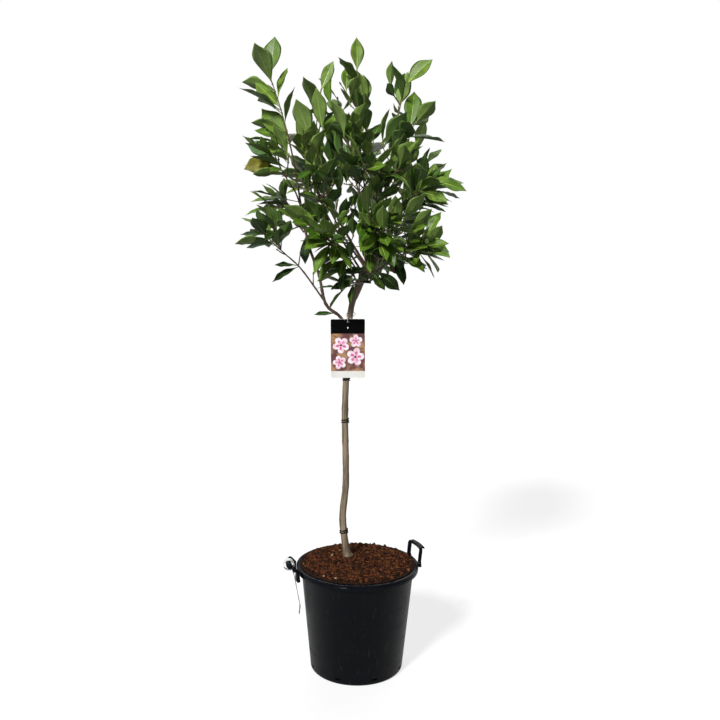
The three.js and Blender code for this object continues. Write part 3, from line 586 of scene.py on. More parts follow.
def bough_skin(name, seed):
    """A bough with its collar, its nodes and its bark."""
    line, radii, way = even_steps(*bough_line(name, BOUGH_STEPS * FINE), BOUGH["ring_step"])
    turns = round_turns(BOUGH["sides"])
    collar = COLLAR["thicker"] * radii[0] * np.exp(-way / COLLAR["fades_over"])
    beat = np.maximum(np.cos(2 * math.pi * way / NODES["apart"] + seed), 0)
    nodes = NODES["thicker"] * radii * beat ** NODES["sharp"]
    bark = BOUGH["relief"] * radii[:, None] * ripple(turns, way, BOUGH_WAVES, seed)
    return tube(line, (radii + collar + nodes)[:, None] + bark, BOUGH["sides"])


for seed, name in enumerate(BOUGHS):
    limb = mesh_object(f"bark_{name}", *bough_skin(name, seed), [BOUGH_LOOK])
    belongs(limb, "young_bark", f"bough_{name}")
print("boughs:", len(BOUGHS))

# %% [markdown]
# ## How the crown grows
# Leaves aren't placed by hand. Each mass of foliage has one leading shoot, from its
# bough's tip to a chosen point. Side shoots and leaves follow one another round it by
# the golden angle, which is how a real shoot keeps its leaves out of each other's
# light. A leaf that would touch a limb or another leaf, or leave the mass's own space,
# is turned on until it fits. The rule and its chances repeat those of the solids, so
# every leaf here grows where its plain solid is.

# %% Masses of foliage
USUAL = {"shoots": 4, "reach": 80, "leaves": 5, "blade": 125, "bare": 0.05, "root": None, "end": None}
MASSES = {
    "left_top": {"on": "left", "tip": (-283, -55, 1885), "lean": (-0.5, 0, 0.2), "end": (14, 0, 121),
                 "shoots": 0, "reach": 50, "leaves": 11, "blade": 128, "bare": 0.35, "seed": 108},
    "left_low": {"tip": (-295, -100, 1410), "lean": (-0.6, -0.1, 0), "end": (-88, -10, -38),
                 "shoots": 1, "reach": 60, "leaves": 7, "blade": 115, "bare": 0.2, "seed": 59},
    "left_side": {"tip": (-244, 25, 1523), "lean": (-0.4, 0.2, 0),
                  "shoots": 1, "reach": 60, "blade": 110, "bare": 0.4, "seed": 116},
    "left_mid": {"tip": (-261, -110, 1640), "lean": (-0.5, -0.2, 0.1), "end": (-81, -10, 40),
                 "shoots": 1, "reach": 70, "leaves": 6, "blade": 120, "bare": 0.2, "seed": 147},
    "left_inner": {"tip": (-143, 90, 1594), "lean": (-0.1, 0.2, 0.1),
                   "shoots": 3, "reach": 70, "blade": 115, "seed": 2},
    "centre_left": {"tip": (-130, -25, 1846), "lean": (-0.2, 0, 0.15), "end": (32, 0, 95),
                    "shoots": 3, "reach": 90, "leaves": 6, "bare": 0.1, "seed": 161},
    "inner_left": {"tip": (-154, -115, 1681), "lean": (-0.2, -0.2, 0.1), "blade": 130, "seed": 14},
    "front_left": {"tip": (-116, -180, 1431), "lean": (-0.2, -0.3, 0), "blade": 130, "seed": 222},
    "centre": {"tip": (-53, -100, 1697), "lean": (0, -0.3, 0.1), "reach": 85, "seed": 247},
    "middle": {"tip": (77, -110, 1609), "lean": (0.1, -0.3, 0.1), "reach": 85, "seed": 199},
    "right": {"tip": (130, 20, 1877), "lean": (0.35, 0, 0.15), "end": (75, -20, 84),
              "bare": 0.15, "seed": 122},
    "top": {"tip": (-20, 45, 1921), "lean": (-0.1, 0, 0.15), "end": (0, 0, 111),
            "shoots": 3, "reach": 90, "blade": 115, "bare": 0.1, "seed": 137},
    "right_mid": {"tip": (219, -60, 1581), "lean": (0.4, -0.1, 0), "end": (102, -10, -27),
                  "bare": 0.1, "seed": 193},
    "right_low": {"tip": (196, -95, 1389), "lean": (0.4, -0.1, -0.1), "end": (71, -15, -25),
                  "bare": 0.1, "seed": 92},
    "front": {"tip": (71, -190, 1433), "lean": (0.1, -0.3, -0.1),
              "shoots": 5, "reach": 85, "blade": 135, "seed": 211},
    "back_left": {"tip": (-188, 270, 1665), "lean": (-0.3, 0.3, 0.1),
                  "reach": 90, "leaves": 4, "bare": 0.2, "seed": 211},
    "back": {"tip": (-9, 270, 1751), "lean": (0, 0.3, 0.1),
             "reach": 90, "leaves": 4, "bare": 0.2, "seed": 241},
    "back_right": {"tip": (216, 270, 1670), "lean": (0.3, 0.3, 0.1),
                   "reach": 90, "leaves": 4, "bare": 0.2, "seed": 179},
    "back_low": {"tip": (82, 285, 1412), "lean": (0, 0.4, -0.1), "leaves": 4, "bare": 0.2, "seed": 104},
    "back_top": {"tip": (-82, 130, 1855), "lean": (-0.1, 0.3, 0.1),
                 "blade": 120, "bare": 0.1, "seed": 17},
    "low": {"root": (0, 18, 1258), "tip": (-28, -70, 1268), "lean": (-0.2, -0.3, -0.4),
            "shoots": 1, "reach": 60, "blade": 100, "bare": 0.4, "seed": 27},
}
masses = {name: {**USUAL, "on": name, **given} for name, given in MASSES.items()}
FOLIAGE = [f"foliage_{name}" for name in masses]  # the solids that the leaves and twigs stand for
print("masses of foliage:", len(masses))

# %% [markdown]
# The geometry of growing is small: where a point and its heading lie on a line, which
# spoke points a given turn round a heading, and how far points are from pieces of limb.
# Distances are taken for whole tables of points at once, so the crown grows in seconds.

# %% Growing: places and distances
GOLDEN_ANGLE = math.radians(137.5)
LEADING_PIECES = 4  # straight pieces in a leading shoot's coarse line
MODULUS, MULTIPLIER = 2147483647, 48271
SEED_STEP, SEED_START = 7919, 104729


def seeded(seed):
    """Repeatable random numbers from 0 to 1, each made from the one before."""
    state = (seed * SEED_STEP + SEED_START) % MODULUS

    def draw():
        nonlocal state
        state = (state * MULTIPLIER) % MODULUS
        return state / MODULUS

    draw()
    draw()
    return draw


def station_on(line, share):
    """The place and the heading at a share of the way along a line of points."""
    x = share * (len(line) - 1)
    i = min(int(x), len(line) - 2)
    return line[i] + (line[i + 1] - line[i]) * (x - i), unit(line[i + 1] - line[i])


def spoke_of(axis, turn):
    """Unit vector square to an axis, turned about it."""
    reference = np.array([0.0, 1.0, 0.0]) if abs(axis[1]) < 0.9 else np.array([1.0, 0.0, 0.0])
    side = unit(np.cross(axis, reference))
    return side * math.cos(turn) + np.cross(axis, side) * math.sin(turn)


def distances(points, starts, ends):
    """How far each point is from each straight piece."""
    reach = ends - starts
    share = ((points[:, None] - starts[None]) * reach[None]).sum(2) / (reach * reach).sum(1)
    nearest = starts[None] + reach[None] * np.clip(share, 0, 1)[..., None]
    return np.linalg.norm(points[:, None] - nearest, axis=2)


def leading_shoot(mass):
    """From the bough's tip, or the mass's root on the stem, in a bend to its own tip."""
    tip = np.array(mass["tip"], float)
    if mass["root"] is None:
        carrier = bough_line(mass["on"], BOUGH_STEPS)[0]
        start, heading = carrier[-1], unit(carrier[-1] - carrier[-2])
    else:
        start = np.array(mass["root"], float)
        heading = unit(tip - start)
    control = start + heading * np.linalg.norm(tip - start) / 2
    t = np.linspace(0, 1, LEADING_PIECES + 1)[:, None]
    return start * (1 - t) ** 2 + control * 2 * t * (1 - t) + tip * t**2


limbs = [trunk_line(TRUNK_STEPS)] + [bough_line(name, BOUGH_STEPS) for name in BOUGHS]
limb_starts = np.concatenate([line[:-1] for line, _ in limbs])
limb_ends = np.concatenate([line[1:] for line, _ in limbs])
limb_radii = np.concatenate([radii[:-1] for _, radii in limbs])
stems = {name: leading_shoot(mass) for name, mass in masses.items()}
stem_starts = np.concatenate([stem[:-1] for stem in stems.values()])
stem_ends = np.concatenate([stem[1:] for stem in stems.values()])
stem_owner = np.repeat(list(stems), LEADING_PIECES)
print("pieces of limb:", len(limb_starts), "pieces of leading shoot:", len(stem_starts))


def is_free(points, name, clear, margin):
    """True when the points are in the mass's own space, and clear of the limbs."""
    if (distances(points, limb_starts, limb_ends) - limb_radii).min() < clear:
        return False
    gaps = distances(points, stem_starts, stem_ends)
    own = stem_owner == name
    return bool((gaps[:, own].min(1) + margin < gaps[:, ~own].min(1)).all())


# %% [markdown]
# A side shoot sets off between the leading shoot's own heading and straight out from
# it, drawn to the light by the mass's lean, and turns up a little towards its end. Where
# a limb or a neighbour's space is in its way, it is turned on.

# %% Growing: side shoots
SHOOT = {  # places and lengths as shares, turns in radians, distances in mm
    "first": 0.15, "over": 0.6, "scatter": 0.7, "shortest": 0.6, "longest": 1.2, "tries": 6, "turn_on": 0.9,
    "waver": 0.6, "ahead": 0.6, "out": 0.8, "lean": 0.4, "up": 0.25, "rise": 0.15, "bare": 0.3, "fewest": 3,
    "steps": 3, "clear": 5, "margin": 6,
}


def between(random, low, high):
    """A chance number between two."""
    return low + (high - low) * random()


def side_line(rule, carrier, share, turn, lean, length):
    """The coarse line of a side shoot, from its place on a carrier's line, by a rule's shares."""
    place, heading = station_on(carrier, share)
    way = heading * rule["ahead"] + spoke_of(heading, turn) * rule["out"] + lean * rule["lean"]
    way = unit(way + (0, 0, rule["up"]))
    t = np.linspace(0, 1, SHOOT["steps"] + 1)[:, None]
    return place + way * length * t + np.array([0, 0, SHOOT["rise"] * length]) * t**2


def grow_shoots(name, mass, random):
    """The leading shoot, and side shoots up it, each turned by the golden angle."""
    stem = stems[name]
    lean = np.array(mass["lean"], float)
    shoots = [{"line": stem, "bare": mass["bare"], "leaves": mass["leaves"], "end": mass["end"]}]
    phase = random() * 2 * math.pi
    for j in range(mass["shoots"]):
        share = SHOOT["first"] + SHOOT["over"] * (j + random() * SHOOT["scatter"]) / mass["shoots"]
        length = mass["reach"] * between(random, SHOOT["shortest"], SHOOT["longest"])
        jitter = random() - 0.5
        for attempt in range(SHOOT["tries"]):
            turn = phase + j * GOLDEN_ANGLE + attempt * SHOOT["turn_on"] + jitter * SHOOT["waver"]
            line = side_line(SHOOT, stem, share, turn, lean, length)
            if is_free(line[1:], name, SHOOT["clear"], SHOOT["margin"]):
                leaves = max(mass["leaves"] - 1, SHOOT["fewest"])
                shoots.append({"line": line, "bare": SHOOT["bare"], "leaves": leaves, "end": None})
                break
    return shoots


# %% [markdown]
# A leaf is first only a handful of numbers: its foot, its heading, the way its face
# looks, and its length, width, arch and fold. Test points spread over that plain shape
# tell whether it fits. Its face looks upwards. Only the last leaf of a few shoots, which
# makes the crown's outline, has a heading of its own and faces the front.

# %% Growing: leaves
SETTING = {  # how a leaf sits on its shoot: shares, and turns in radians
    "end": 0.97, "scatter": 0.6, "open": 1.15, "closing": 0.45, "last_open": 0.35, "lean": 0.6,
    "last_lean": 0.3, "tries": 9, "turn_on": 0.85, "waver": 0.7, "ahead": 0.3, "steepest": 0.06,
}
FRONT = np.array([0, -1, 0.5])
LEAF = {
    "length": (0.75, 1.15), "last_length": 0.95, "width": (0.34, 0.41), "arch": (0.04, 0.2),
    "fold": (0.15, 0.55), "roll": 1.8, "end_roll": 0.4, "clear": 10, "apart": 9, "margin": 1.5,
    "fullest": 1.3, "blunt": 0.75,
}
ALONG = np.linspace(0.2, 1, 9)
ACROSS = np.array([-1, -0.5, 0, 0.5, 1])


def leaf_samples(leaf):
    """Test points over a leaf's plain shape."""
    outline = np.maximum(np.sin(math.pi * ALONG ** LEAF["fullest"]), 0) ** LEAF["blunt"]
    off = 0.5 * leaf["width"] * outline[:, None] * ACROSS
    side = unit(np.cross(leaf["heading"], leaf["face"]))
    drop = leaf["arch"] * leaf["length"] * ALONG[:, None] ** 2
    points = leaf["foot"] + leaf["heading"] * (leaf["length"] * ALONG)[:, None, None] + side * off[..., None]
    points = points + leaf["face"] * (leaf["fold"] * np.abs(off) - drop)[..., None]
    return points.reshape(-1, 3)


def face_of(heading, way, spoke, roll, end):
    """The way a leaf looks: upwards, or to the front for an end leaf, rolled a little."""
    face = heading * SETTING["ahead"] + (0, 0, 1) if end is None else FRONT
    face = face - way * face.dot(way)
    if face.dot(face) < SETTING["steepest"]:
        face = way * spoke.dot(way) - spoke
    face = unit(face)
    return unit(face + np.cross(way, face) * (roll if end is None else roll * LEAF["end_roll"]))


def is_apart(points, others, twigs, gap):
    """True when the points are away from the other leaves' points and from the twigs."""
    if others and np.linalg.norm(points[:, None] - np.concatenate(others), axis=2).min() <= gap:
        return False
    return distances(points, *twigs).min() > gap


def grow_leaves(name, mass, shoot, random, twigs, placed, gap=LEAF["apart"], margin=LEAF["margin"]):
    """Leaves up one shoot; one that doesn't fit is turned on until it does."""
    leaves = []
    lean = np.array(mass["lean"], float)
    phase = random() * 2 * math.pi
    for i in range(shoot["leaves"]):
        last = i == shoot["leaves"] - 1
        end = shoot["end"] if last else None
        step = (i + SETTING["scatter"] * random()) / (shoot["leaves"] - 1)
        share = 1 if last else shoot["bare"] + (SETTING["end"] - shoot["bare"]) * step
        foot, heading = station_on(shoot["line"], share)
        opening = SETTING["last_open"] if last else SETTING["open"] - SETTING["closing"] * i / shoot["leaves"]
        length = mass["blade"] * between(random, *LEAF["length"]) * (LEAF["last_length"] if last else 1)
        if end is not None:
            length = np.linalg.norm(end)
        width = length * between(random, *LEAF["width"])
        arch = between(random, *LEAF["arch"])
        fold = between(random, *LEAF["fold"])
        jitter = random() - 0.5
        roll = (random() - 0.5) * LEAF["roll"]
        for attempt in range(SETTING["tries"]):
            turn = phase + i * GOLDEN_ANGLE + attempt * SETTING["turn_on"] + jitter * SETTING["waver"]
            spoke = spoke_of(heading, turn)
            way = heading * math.cos(opening) + spoke * math.sin(opening)
            way = way + lean * SETTING["last_lean" if last else "lean"]
            way = unit(way if end is None else np.array(end, float))
            leaf = {
                "mass": name, "share": share, "foot": foot, "heading": way, "length": length, "width": width,
                "face": face_of(heading, way, spoke, roll, end), "arch": arch, "fold": fold,
            }
            samples = leaf_samples(leaf)
            blade = samples[2 * len(ACROSS):]
            if is_apart(blade, placed, twigs, gap) and is_free(samples, name, LEAF["clear"], margin):
                placed.append(blade)
                leaves.append(leaf)
                break
    return leaves


# %% [markdown]
# The whole crown, mass by mass. As a test that this is the same crown as the solids',
# the largest difference between the leaves' reach and each solid's box is printed.

# %% Growing: the crown
crown = {}
for name, mass in masses.items():
    random = seeded(mass["seed"])
    placed = []
    shoots = grow_shoots(name, mass, random)
    twigs = [np.concatenate([shoot["line"][:-1] for shoot in shoots]),
             np.concatenate([shoot["line"][1:] for shoot in shoots])]
    for shoot in shoots:
        shoot["grown"] = grow_leaves(name, mass, shoot, random, twigs, placed)
    crown[name] = {"shoots": shoots, "placed": placed, "twigs": twigs}


def leaves_of(name):
    """Every leaf of a mass."""
    return [leaf for shoot in crown[name]["shoots"] for leaf in shoot["grown"]]


def furthest_off(name):
    """How far the leaves' box is from the box of the mass's solid, in mm."""
    points = np.concatenate(crown[name]["placed"] + crown[name]["twigs"])
    low, high = (np.array(corner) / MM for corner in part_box(f"foliage_{name}"))
    return max(np.abs(points.min(0) - low).max(), np.abs(points.max(0) - high).max())


print("leaves:", sum(len(leaves_of(name)) for name in crown))
print("largest difference from the solids:", round(max(map(furthest_off, crown)), 1), "mm")

# %% [markdown]
# The solids hold the crown's outline with few leaves. The living plant carries more:
# short sprays of smaller leaves on its shoots, spurs with two or three leaves on its
# boughs, and some leaves that stand alone. The sprays grow by the same rule, inside
# each mass's own space, so they thicken the crown without moving its edge. How many
# sprays each mass gets says how closely it is leaved.

# %% Growing: sprays and spurs
SPRAYS = {
    "left_low": 4, "left_side": 3, "left_mid": 3, "left_inner": 7, "centre_left": 2, "inner_left": 10,
    "front_left": 12, "centre": 12, "middle": 13, "right": 2, "top": 1, "right_mid": 4, "right_low": 6,
    "front": 13, "back_left": 5, "back": 5, "back_right": 5, "back_low": 5, "back_top": 2, "low": 6,
}
SPRAY = {
    "shoot": (30, 65), "leaves": 3, "blade": 86, "bare": 0.35, "gap": 4, "clear": 3, "tries": 5,
    "span": (0.1, 0.9), "ahead": 0.5, "out": 0.9, "lean": 0.2, "up": 0.2,
}
SPURS = {  # bough: how many, and the share of the bough from which they stand
    "front": (4, 0.35), "middle": (4, 0.35), "centre": (4, 0.3), "right_low": (1, 0.6),
    "front_left": (4, 0.3), "inner_left": (3, 0.4), "centre_left": (3, 0.4), "right_mid": (3, 0.4),
    "right": (2, 0.5), "back_low": (2, 0.5), "back": (2, 0.5), "back_right": (2, 0.5), "back_left": (2, 0.5),
}
SLIGHTER = {  # leaves inside these masses are smaller than their solids, by this share
    "left_inner": 0.85, "inner_left": 0.85, "front_left": 0.8, "centre": 0.85, "middle": 0.82,
    "right_mid": 0.92, "right_low": 0.95, "front": 0.9, "low": 0.75,
}
BROADER = {"left_top": 1.25, "right": 1.2, "left_low": 1.1}  # these have room to grow broader leaves
SPUR_MARGIN = -12  # so far may a spur's leaves reach into a neighbour's space
SPRAY_SEEDS, SPUR_SEEDS = 1000, 2000  # added to the mass's own seed


def add_spray(name, line, share, random, margin):
    """One spray with its leaves, if there's room for it."""
    grown = crown[name]
    mass = {**masses[name], "blade": SPRAY["blade"]}
    lean = np.array(mass["lean"])
    turn = random() * 2 * math.pi
    length = between(random, *SPRAY["shoot"])
    for attempt in range(SPRAY["tries"]):
        shoot_line = side_line(SPRAY, line, share, turn + attempt * SHOOT["turn_on"], lean, length)
        if not is_free(shoot_line[2:], name, SPRAY["clear"], margin):
            continue
        shoot = {"line": shoot_line, "bare": SPRAY["bare"], "leaves": SPRAY["leaves"], "end": None}
        shoot["grown"] = grow_leaves(
            name, mass, shoot, random, grown["twigs"], grown["placed"], SPRAY["gap"], margin)
        if shoot["grown"]:
            grown["shoots"].append(shoot)
            return len(shoot["grown"])
    return 0


for name, share in SLIGHTER.items():
    for leaf in leaves_of(name):
        if leaf["share"] < 1 or name == "low":  # a last leaf keeps its size, for the crown's outline
            leaf["length"] *= share
            leaf["width"] *= share
for name, share in BROADER.items():
    for leaf in leaves_of(name):
        leaf["width"] *= share
added = 0
for name, count in SPRAYS.items():
    random = seeded(masses[name]["seed"] + SPRAY_SEEDS)
    carriers = crown[name]["shoots"][:]
    for k in range(count):
        carrier = carriers[k % len(carriers)]
        share = between(random, *SPRAY["span"])
        added += add_spray(name, carrier["line"], share, random, LEAF["margin"])
for name, (count, start) in SPURS.items():
    random = seeded(masses[name]["seed"] + SPUR_SEEDS)
    line, _ = bough_line(name, BOUGH_STEPS)
    for k in range(count):
        share = start + (1 - start) * (k + random()) / count
        place, _ = station_on(line, share)
        nearest = stem_owner[distances(place[None], stem_starts, stem_ends).argmin()]
        added += add_spray(nearest, line, share, random, SPUR_MARGIN)
print("leaves added in sprays:", added)

# %% [markdown]
# Single leaves follow, each from its place on a bough or leading shoot to its own tip,
# with its face to the front. Some are past their best: one turns yellow, one has
# withered, and two show another green. A few thin twigs have lost their leaves.

# %% Growing: single leaves and bare twigs
LONE = [  # carrier, its mass or bough, share of the way, from foot to tip, breadth, roll, tint
    ("shoot", "left_top", 0.74, (-71, -6, 82), 0.46, 0.2, None),
    ("shoot", "left_top", 0.45, (-82, -8, 110), 0.46, -0.2, None),
    ("shoot", "left_top", 0.5, (-104, -6, 24), 0.42, 0.5, None),
    ("shoot", "left_mid", 0.88, (-92, -30, -32), 0.5, -0.1, "yellowing"),
    ("shoot", "inner_left", 0.68, (-8, -10, 120), 0.4, 0.1, "olive"),
    ("bough", "left", 0.98, (-120, -30, 22), 0.3, 1.6, None),
    ("bough", "left", 0.75, (-6, -10, -94), 0.34, 0.3, None),
    ("bough", "left_low", 0.59, (-87, -6, -38), 0.36, 0.4, None),
    ("bough", "left_low", 0.62, (-68, -20, 8), 0.36, 0.8, None),
    ("bough", "left", 0.23, (-66, -30, 0), 0.36, 0.5, None),
    ("bough", "right_low", 0.1, (32, -40, -50), 0.42, 0.2, None),
    ("bough", "right_low", 0.3, (72, -30, -60), 0.4, 0.3, None),
    ("bough", "right_low", 0.93, (26, -10, -36), 0.34, 0.9, "withered"),
]
LONE_SEED = 77
DULL_LEAF = {"tint": "dull", "width": 46, "fold": 0.15}  # the broad end leaf of the mass left_mid
BARE_TWIGS = {"right_low": 6, "right_mid": 5, "middle": 4, "front": 4, "centre": 3, "left_low": 3, "right": 3}
BARE_TWIG = {"from": 0.25, "length": (28, 62)}
LONE_LEAF = {"share": 0.5, "fold": (0.1, 0.3)}


def lone_leaf(kind, name, share, reach, breadth, roll, tint, random):
    """A leaf from a place on a limb along `reach`, faced to the front."""
    line = stems[name] if kind == "shoot" else bough_line(name, BOUGH_STEPS)[0]
    foot, heading = station_on(line, share)
    way = unit(np.array(reach, float))
    length = np.linalg.norm(reach)
    return {
        "mass": name, "share": LONE_LEAF["share"], "tint": tint, "foot": foot, "heading": way,
        "length": length, "width": length * breadth,
        "arch": between(random, *LEAF["arch"]), "fold": between(random, *LONE_LEAF["fold"]),
        "face": face_of(heading, way, heading, roll / LEAF["end_roll"], reach),
    }


random = seeded(LONE_SEED)
lone = [lone_leaf(*entry, random) for entry in LONE]
crown["left_mid"]["shoots"][0]["grown"][-1].update(DULL_LEAF)
for name, count in BARE_TWIGS.items():
    line, _ = bough_line(name, BOUGH_STEPS)
    lean = np.array(masses[name]["lean"])
    for k in range(count):
        share = BARE_TWIG["from"] + (1 - BARE_TWIG["from"]) * (k + random()) / count
        turn = random() * 2 * math.pi
        bare_line = side_line(SPRAY, line, share, turn, lean, between(random, *BARE_TWIG["length"]))
        crown[name]["shoots"].append({"line": bare_line, "grown": []})
print("single leaves:", len(lone), "bare twigs:", sum(BARE_TWIGS.values()))

# %% [markdown]
# ## Leaves
# A magnolia leaf is oval, widest past its middle, wedge-shaped at its foot and drawn
# out to a point. It's folded up along a pale midrib, arched, and slightly wavy along
# its margins. Side veins run slantwise to the margin, with the blade puffed up between
# them. A flat picture of a leaf on a card could show all that from one side only. Here
# each leaf is a closed skin of two faces, made as one table for all leaves at once:
# rows across the blade slant forward as the veins do, and every other row is a vein.

# %% The leaf's own shape
STALK = 0.08  # share of the length that is stalk
STALK_HALF = 1.0  # half its thickness, mm
BLADE_ROWS = 18
COLUMNS = np.array([-1, -0.72, -0.42, -0.12, 0, 0.12, 0.42, 0.72, 1])
RIB_COLUMNS = (3, 5)  # these two run along the sides of the midrib
RIB_HALF = 1.3  # mm, at the foot of the blade
SLANT = 0.5  # how far the veins run forward on their way to the margin
VEIN_DEPTH = 0.55
BLADE_THICK = 0.4
UPPER, UNDER, RIB = range(3)  # material slots
OUTLINE = {"fullest": 1.2, "blunt": 0.9, "point_from": 0.72, "point_loss": 0.45, "point_curve": 1.3}


def blade_outline(share):
    """Half width along the blade, as a share of its full width."""
    share = np.clip(share, 0, 1)
    pointed = np.clip((share - OUTLINE["point_from"]) / (1 - OUTLINE["point_from"]), 0, 1)
    drawn_out = 1 - OUTLINE["point_loss"] * pointed ** OUTLINE["point_curve"]
    return 0.5 * np.sin(math.pi * share ** OUTLINE["fullest"]) ** OUTLINE["blunt"] * drawn_out


def leaf_faces():
    """Faces and material slots of one leaf: its under side shares the margin's points."""
    rows, columns = BLADE_ROWS + 3, len(COLUMNS)
    upper = np.arange(rows * columns).reshape(rows, columns)
    under = upper.copy()
    under[1:-1, 1:-1] = rows * columns + np.arange((rows - 2) * (columns - 2)).reshape(rows - 2, -1)
    top = np.stack([upper[:-1, :-1], upper[:-1, 1:], upper[1:, 1:], upper[1:, :-1]], -1)
    bottom = np.stack([under[:-1, :-1], under[1:, :-1], under[1:, 1:], under[:-1, 1:]], -1)
    slots = np.zeros((2, rows - 1, columns - 1), int)
    slots[0] = UPPER
    slots[1] = UNDER
    slots[:, :, RIB_COLUMNS[0]:RIB_COLUMNS[1]] = RIB
    slots[:, :2] = RIB
    return np.concatenate([top.reshape(-1, 4), bottom.reshape(-1, 4)]), slots.ravel()


LEAF_FACES, LEAF_SLOTS = leaf_faces()
print("triangles a leaf:", 2 * len(LEAF_FACES))

# %% [markdown]
# The shape is bent onto every leaf's own foot, heading and face. Each leaf draws its
# own waviness, sideways bend and twist from one seeded source, so that no two are
# alike and every run gives the same crown.

# %% All leaves at once
# Each leaf's own chances, then what all leaves share: sizes in mm, shares of a width, and
# the powers by which something grows or fades towards the margin.
OWN = {"bend": (-0.05, 0.05), "twist": (-0.35, 0.35), "waves": (1.6, 3.4), "wave_height": (0.03, 0.11)}
BLADE = {
    "notches": 9, "notch": 0.05, "margin_half": 0.15, "rib_taper": 1.1, "rib_share": 0.3, "round": 0.08,
    "flatter": 0.25, "flat_curve": 3, "wave_curve": 2.5, "puff_curve": 4, "puff_rise": 4, "puff_full": 12,
    "bulge": 1.7, "bulge_tip": 0.5, "bulge_wide": 1.5, "bulge_above": 0.25,
}


def leaf_points(leaves, chance):
    """Points of all the leaves, one row of points a leaf."""
    def column(key):
        return np.array([leaf[key] for leaf in leaves], float)

    count = len(leaves)
    length, width, arch, fold = (column(key)[:, None, None] for key in ("length", "width", "arch", "fold"))
    bend, twist, waves, wave_height = (chance.uniform(*span, (count, 1, 1)) for span in OWN.values())
    offset, uneven = (chance.uniform(0, 2 * math.pi, (count, 2, 1, 1)) for _ in range(2))

    rows = np.concatenate([[-2, -1], np.linspace(0, 1, BLADE_ROWS + 1)])[None, :, None]
    across = COLUMNS[None, None, :]
    edge = np.abs(across)
    middle = np.clip(rows, 0, 1)
    blade = middle + SLANT * edge * middle * (1 - middle)
    share = np.where(rows < 0, STALK * (rows + 2) / 2, STALK + (1 - STALK) * blade)

    left = across < 0
    half = width * blade_outline(blade)
    notches = np.sin(BLADE["notches"] * middle + np.where(left, uneven[:, 0], uneven[:, 1]))
    half = half * (1 + BLADE["notch"] * notches)
    half = np.hypot(half, STALK_HALF * (1 - middle) ** 2) + BLADE["margin_half"]
    rib = np.minimum(RIB_HALF * (BLADE["rib_taper"] - middle), BLADE["rib_share"] * half)
    off = np.where(edge == np.abs(COLUMNS[RIB_COLUMNS[0]]), np.sign(across) * rib, across * half)

    rounding = BLADE["round"] * width
    rise = fold * (np.hypot(off, rounding) - rounding)
    rise = rise - BLADE["flatter"] * fold * edge ** BLADE["flat_curve"] * half
    swing = np.sin(2 * math.pi * waves * middle + np.where(left, offset[:, 0], offset[:, 1]))
    rise = rise + wave_height * half * edge ** BLADE["wave_curve"] * swing
    puff = np.where(np.arange(rows.shape[1]) % 2 == 0, VEIN_DEPTH, -VEIN_DEPTH)[None, :, None]
    puff = puff * (1 - edge ** BLADE["puff_curve"]) * np.minimum(BLADE["puff_rise"] * edge, 1)
    rise = rise + puff * np.minimum(half / BLADE["puff_full"], 1)
    rise = np.where(rows < 0, 0, rise)
    turn = twist * share
    sideways = off * np.cos(turn) - rise * np.sin(turn) + bend * length * share**2
    upwards = off * np.sin(turn) + rise * np.cos(turn) - arch * length * share**2
    bulge = BLADE["bulge"] * (1 - middle) ** 2 + BLADE["bulge_tip"]
    bulge = bulge * np.exp(-((off / BLADE["bulge_wide"]) ** 2))

    def place(lift):
        foot, heading, face = (column(key)[:, None, None] for key in ("foot", "heading", "face"))
        side = np.cross(heading, face)
        return (foot + heading * (length * share)[..., None] + side * sideways[..., None]
                + face * (upwards + lift)[..., None])

    upper = place(BLADE["bulge_above"] * bulge)
    under = place((BLADE["bulge_above"] - 1) * bulge - BLADE_THICK)[:, 1:-1, 1:-1]
    return np.concatenate([upper.reshape(count, -1, 3), under.reshape(count, -1, 3)], 1)


def leaf_piece(name, leaves, looks, chance):
    """All the given leaves in one piece."""
    points = leaf_points(leaves, chance)
    count, size = points.shape[:2]
    faces = LEAF_FACES[None] + (size * np.arange(count))[:, None, None]
    slots = np.tile(LEAF_SLOTS, count)
    piece = mesh_object(name, points.reshape(-1, 3), faces.reshape(-1, 4), looks, slots)
    return belongs(piece, "foliage", *FOLIAGE)


# %% [markdown]
# ## Leaf colours
# New leaves at the ends of the shoots are yellow-green and glossy, older ones inside
# the crown are deep green, and all are greyer beneath with a pale midrib. The colour
# has a place on the plant, so it's dealt out leaf by leaf, each tint with its own three
# plain materials. A pattern over the whole crown would paint leaves in patches instead.

# %% Leaf finishes
TINTS = {
    "deep": {"upper": (25, 47, 6), "under": (48, 74, 26), "rib": (86, 112, 46)},
    "mature": {"upper": (46, 74, 10), "under": (74, 102, 44), "rib": (124, 150, 66)},
    "fresh": {"upper": (72, 100, 24), "under": (100, 125, 56), "rib": (152, 172, 90)},
    "young": {"upper": (84, 109, 33), "under": (116, 142, 70), "rib": (164, 184, 96)},
    "yellowing": {"upper": (98, 94, 6), "under": (106, 102, 16), "rib": (130, 126, 50)},
    "olive": {"upper": (74, 92, 18), "under": (92, 108, 46), "rib": (132, 142, 66)},
    "dull": {"upper": (74, 104, 58), "under": (84, 110, 68), "rib": (118, 142, 94)},
    "withered": {"upper": (92, 66, 44), "under": (104, 80, 56), "rib": (80, 58, 42)},
}
STEPS = ("deep", "mature", "fresh", "young")  # from old to new
PARTS = {  # of a leaf: how its patches differ from its ground, and the rest of its finish
    "upper": (1.18, {"scale": 38, "rough": (0.42, 0.54), "relief_scale": 240, "depth": 0.04,
                     "specular": 0.28}),
    "under": (1.08, {"scale": 38, "rough": (0.6, 0.7), "relief_scale": 300, "depth": 0.08,
                     "specular": 0.25}),
    "rib": (0.9, {"scale": 60, "rough": (0.5, 0.6), "relief_scale": 400, "depth": 0.1}),
}


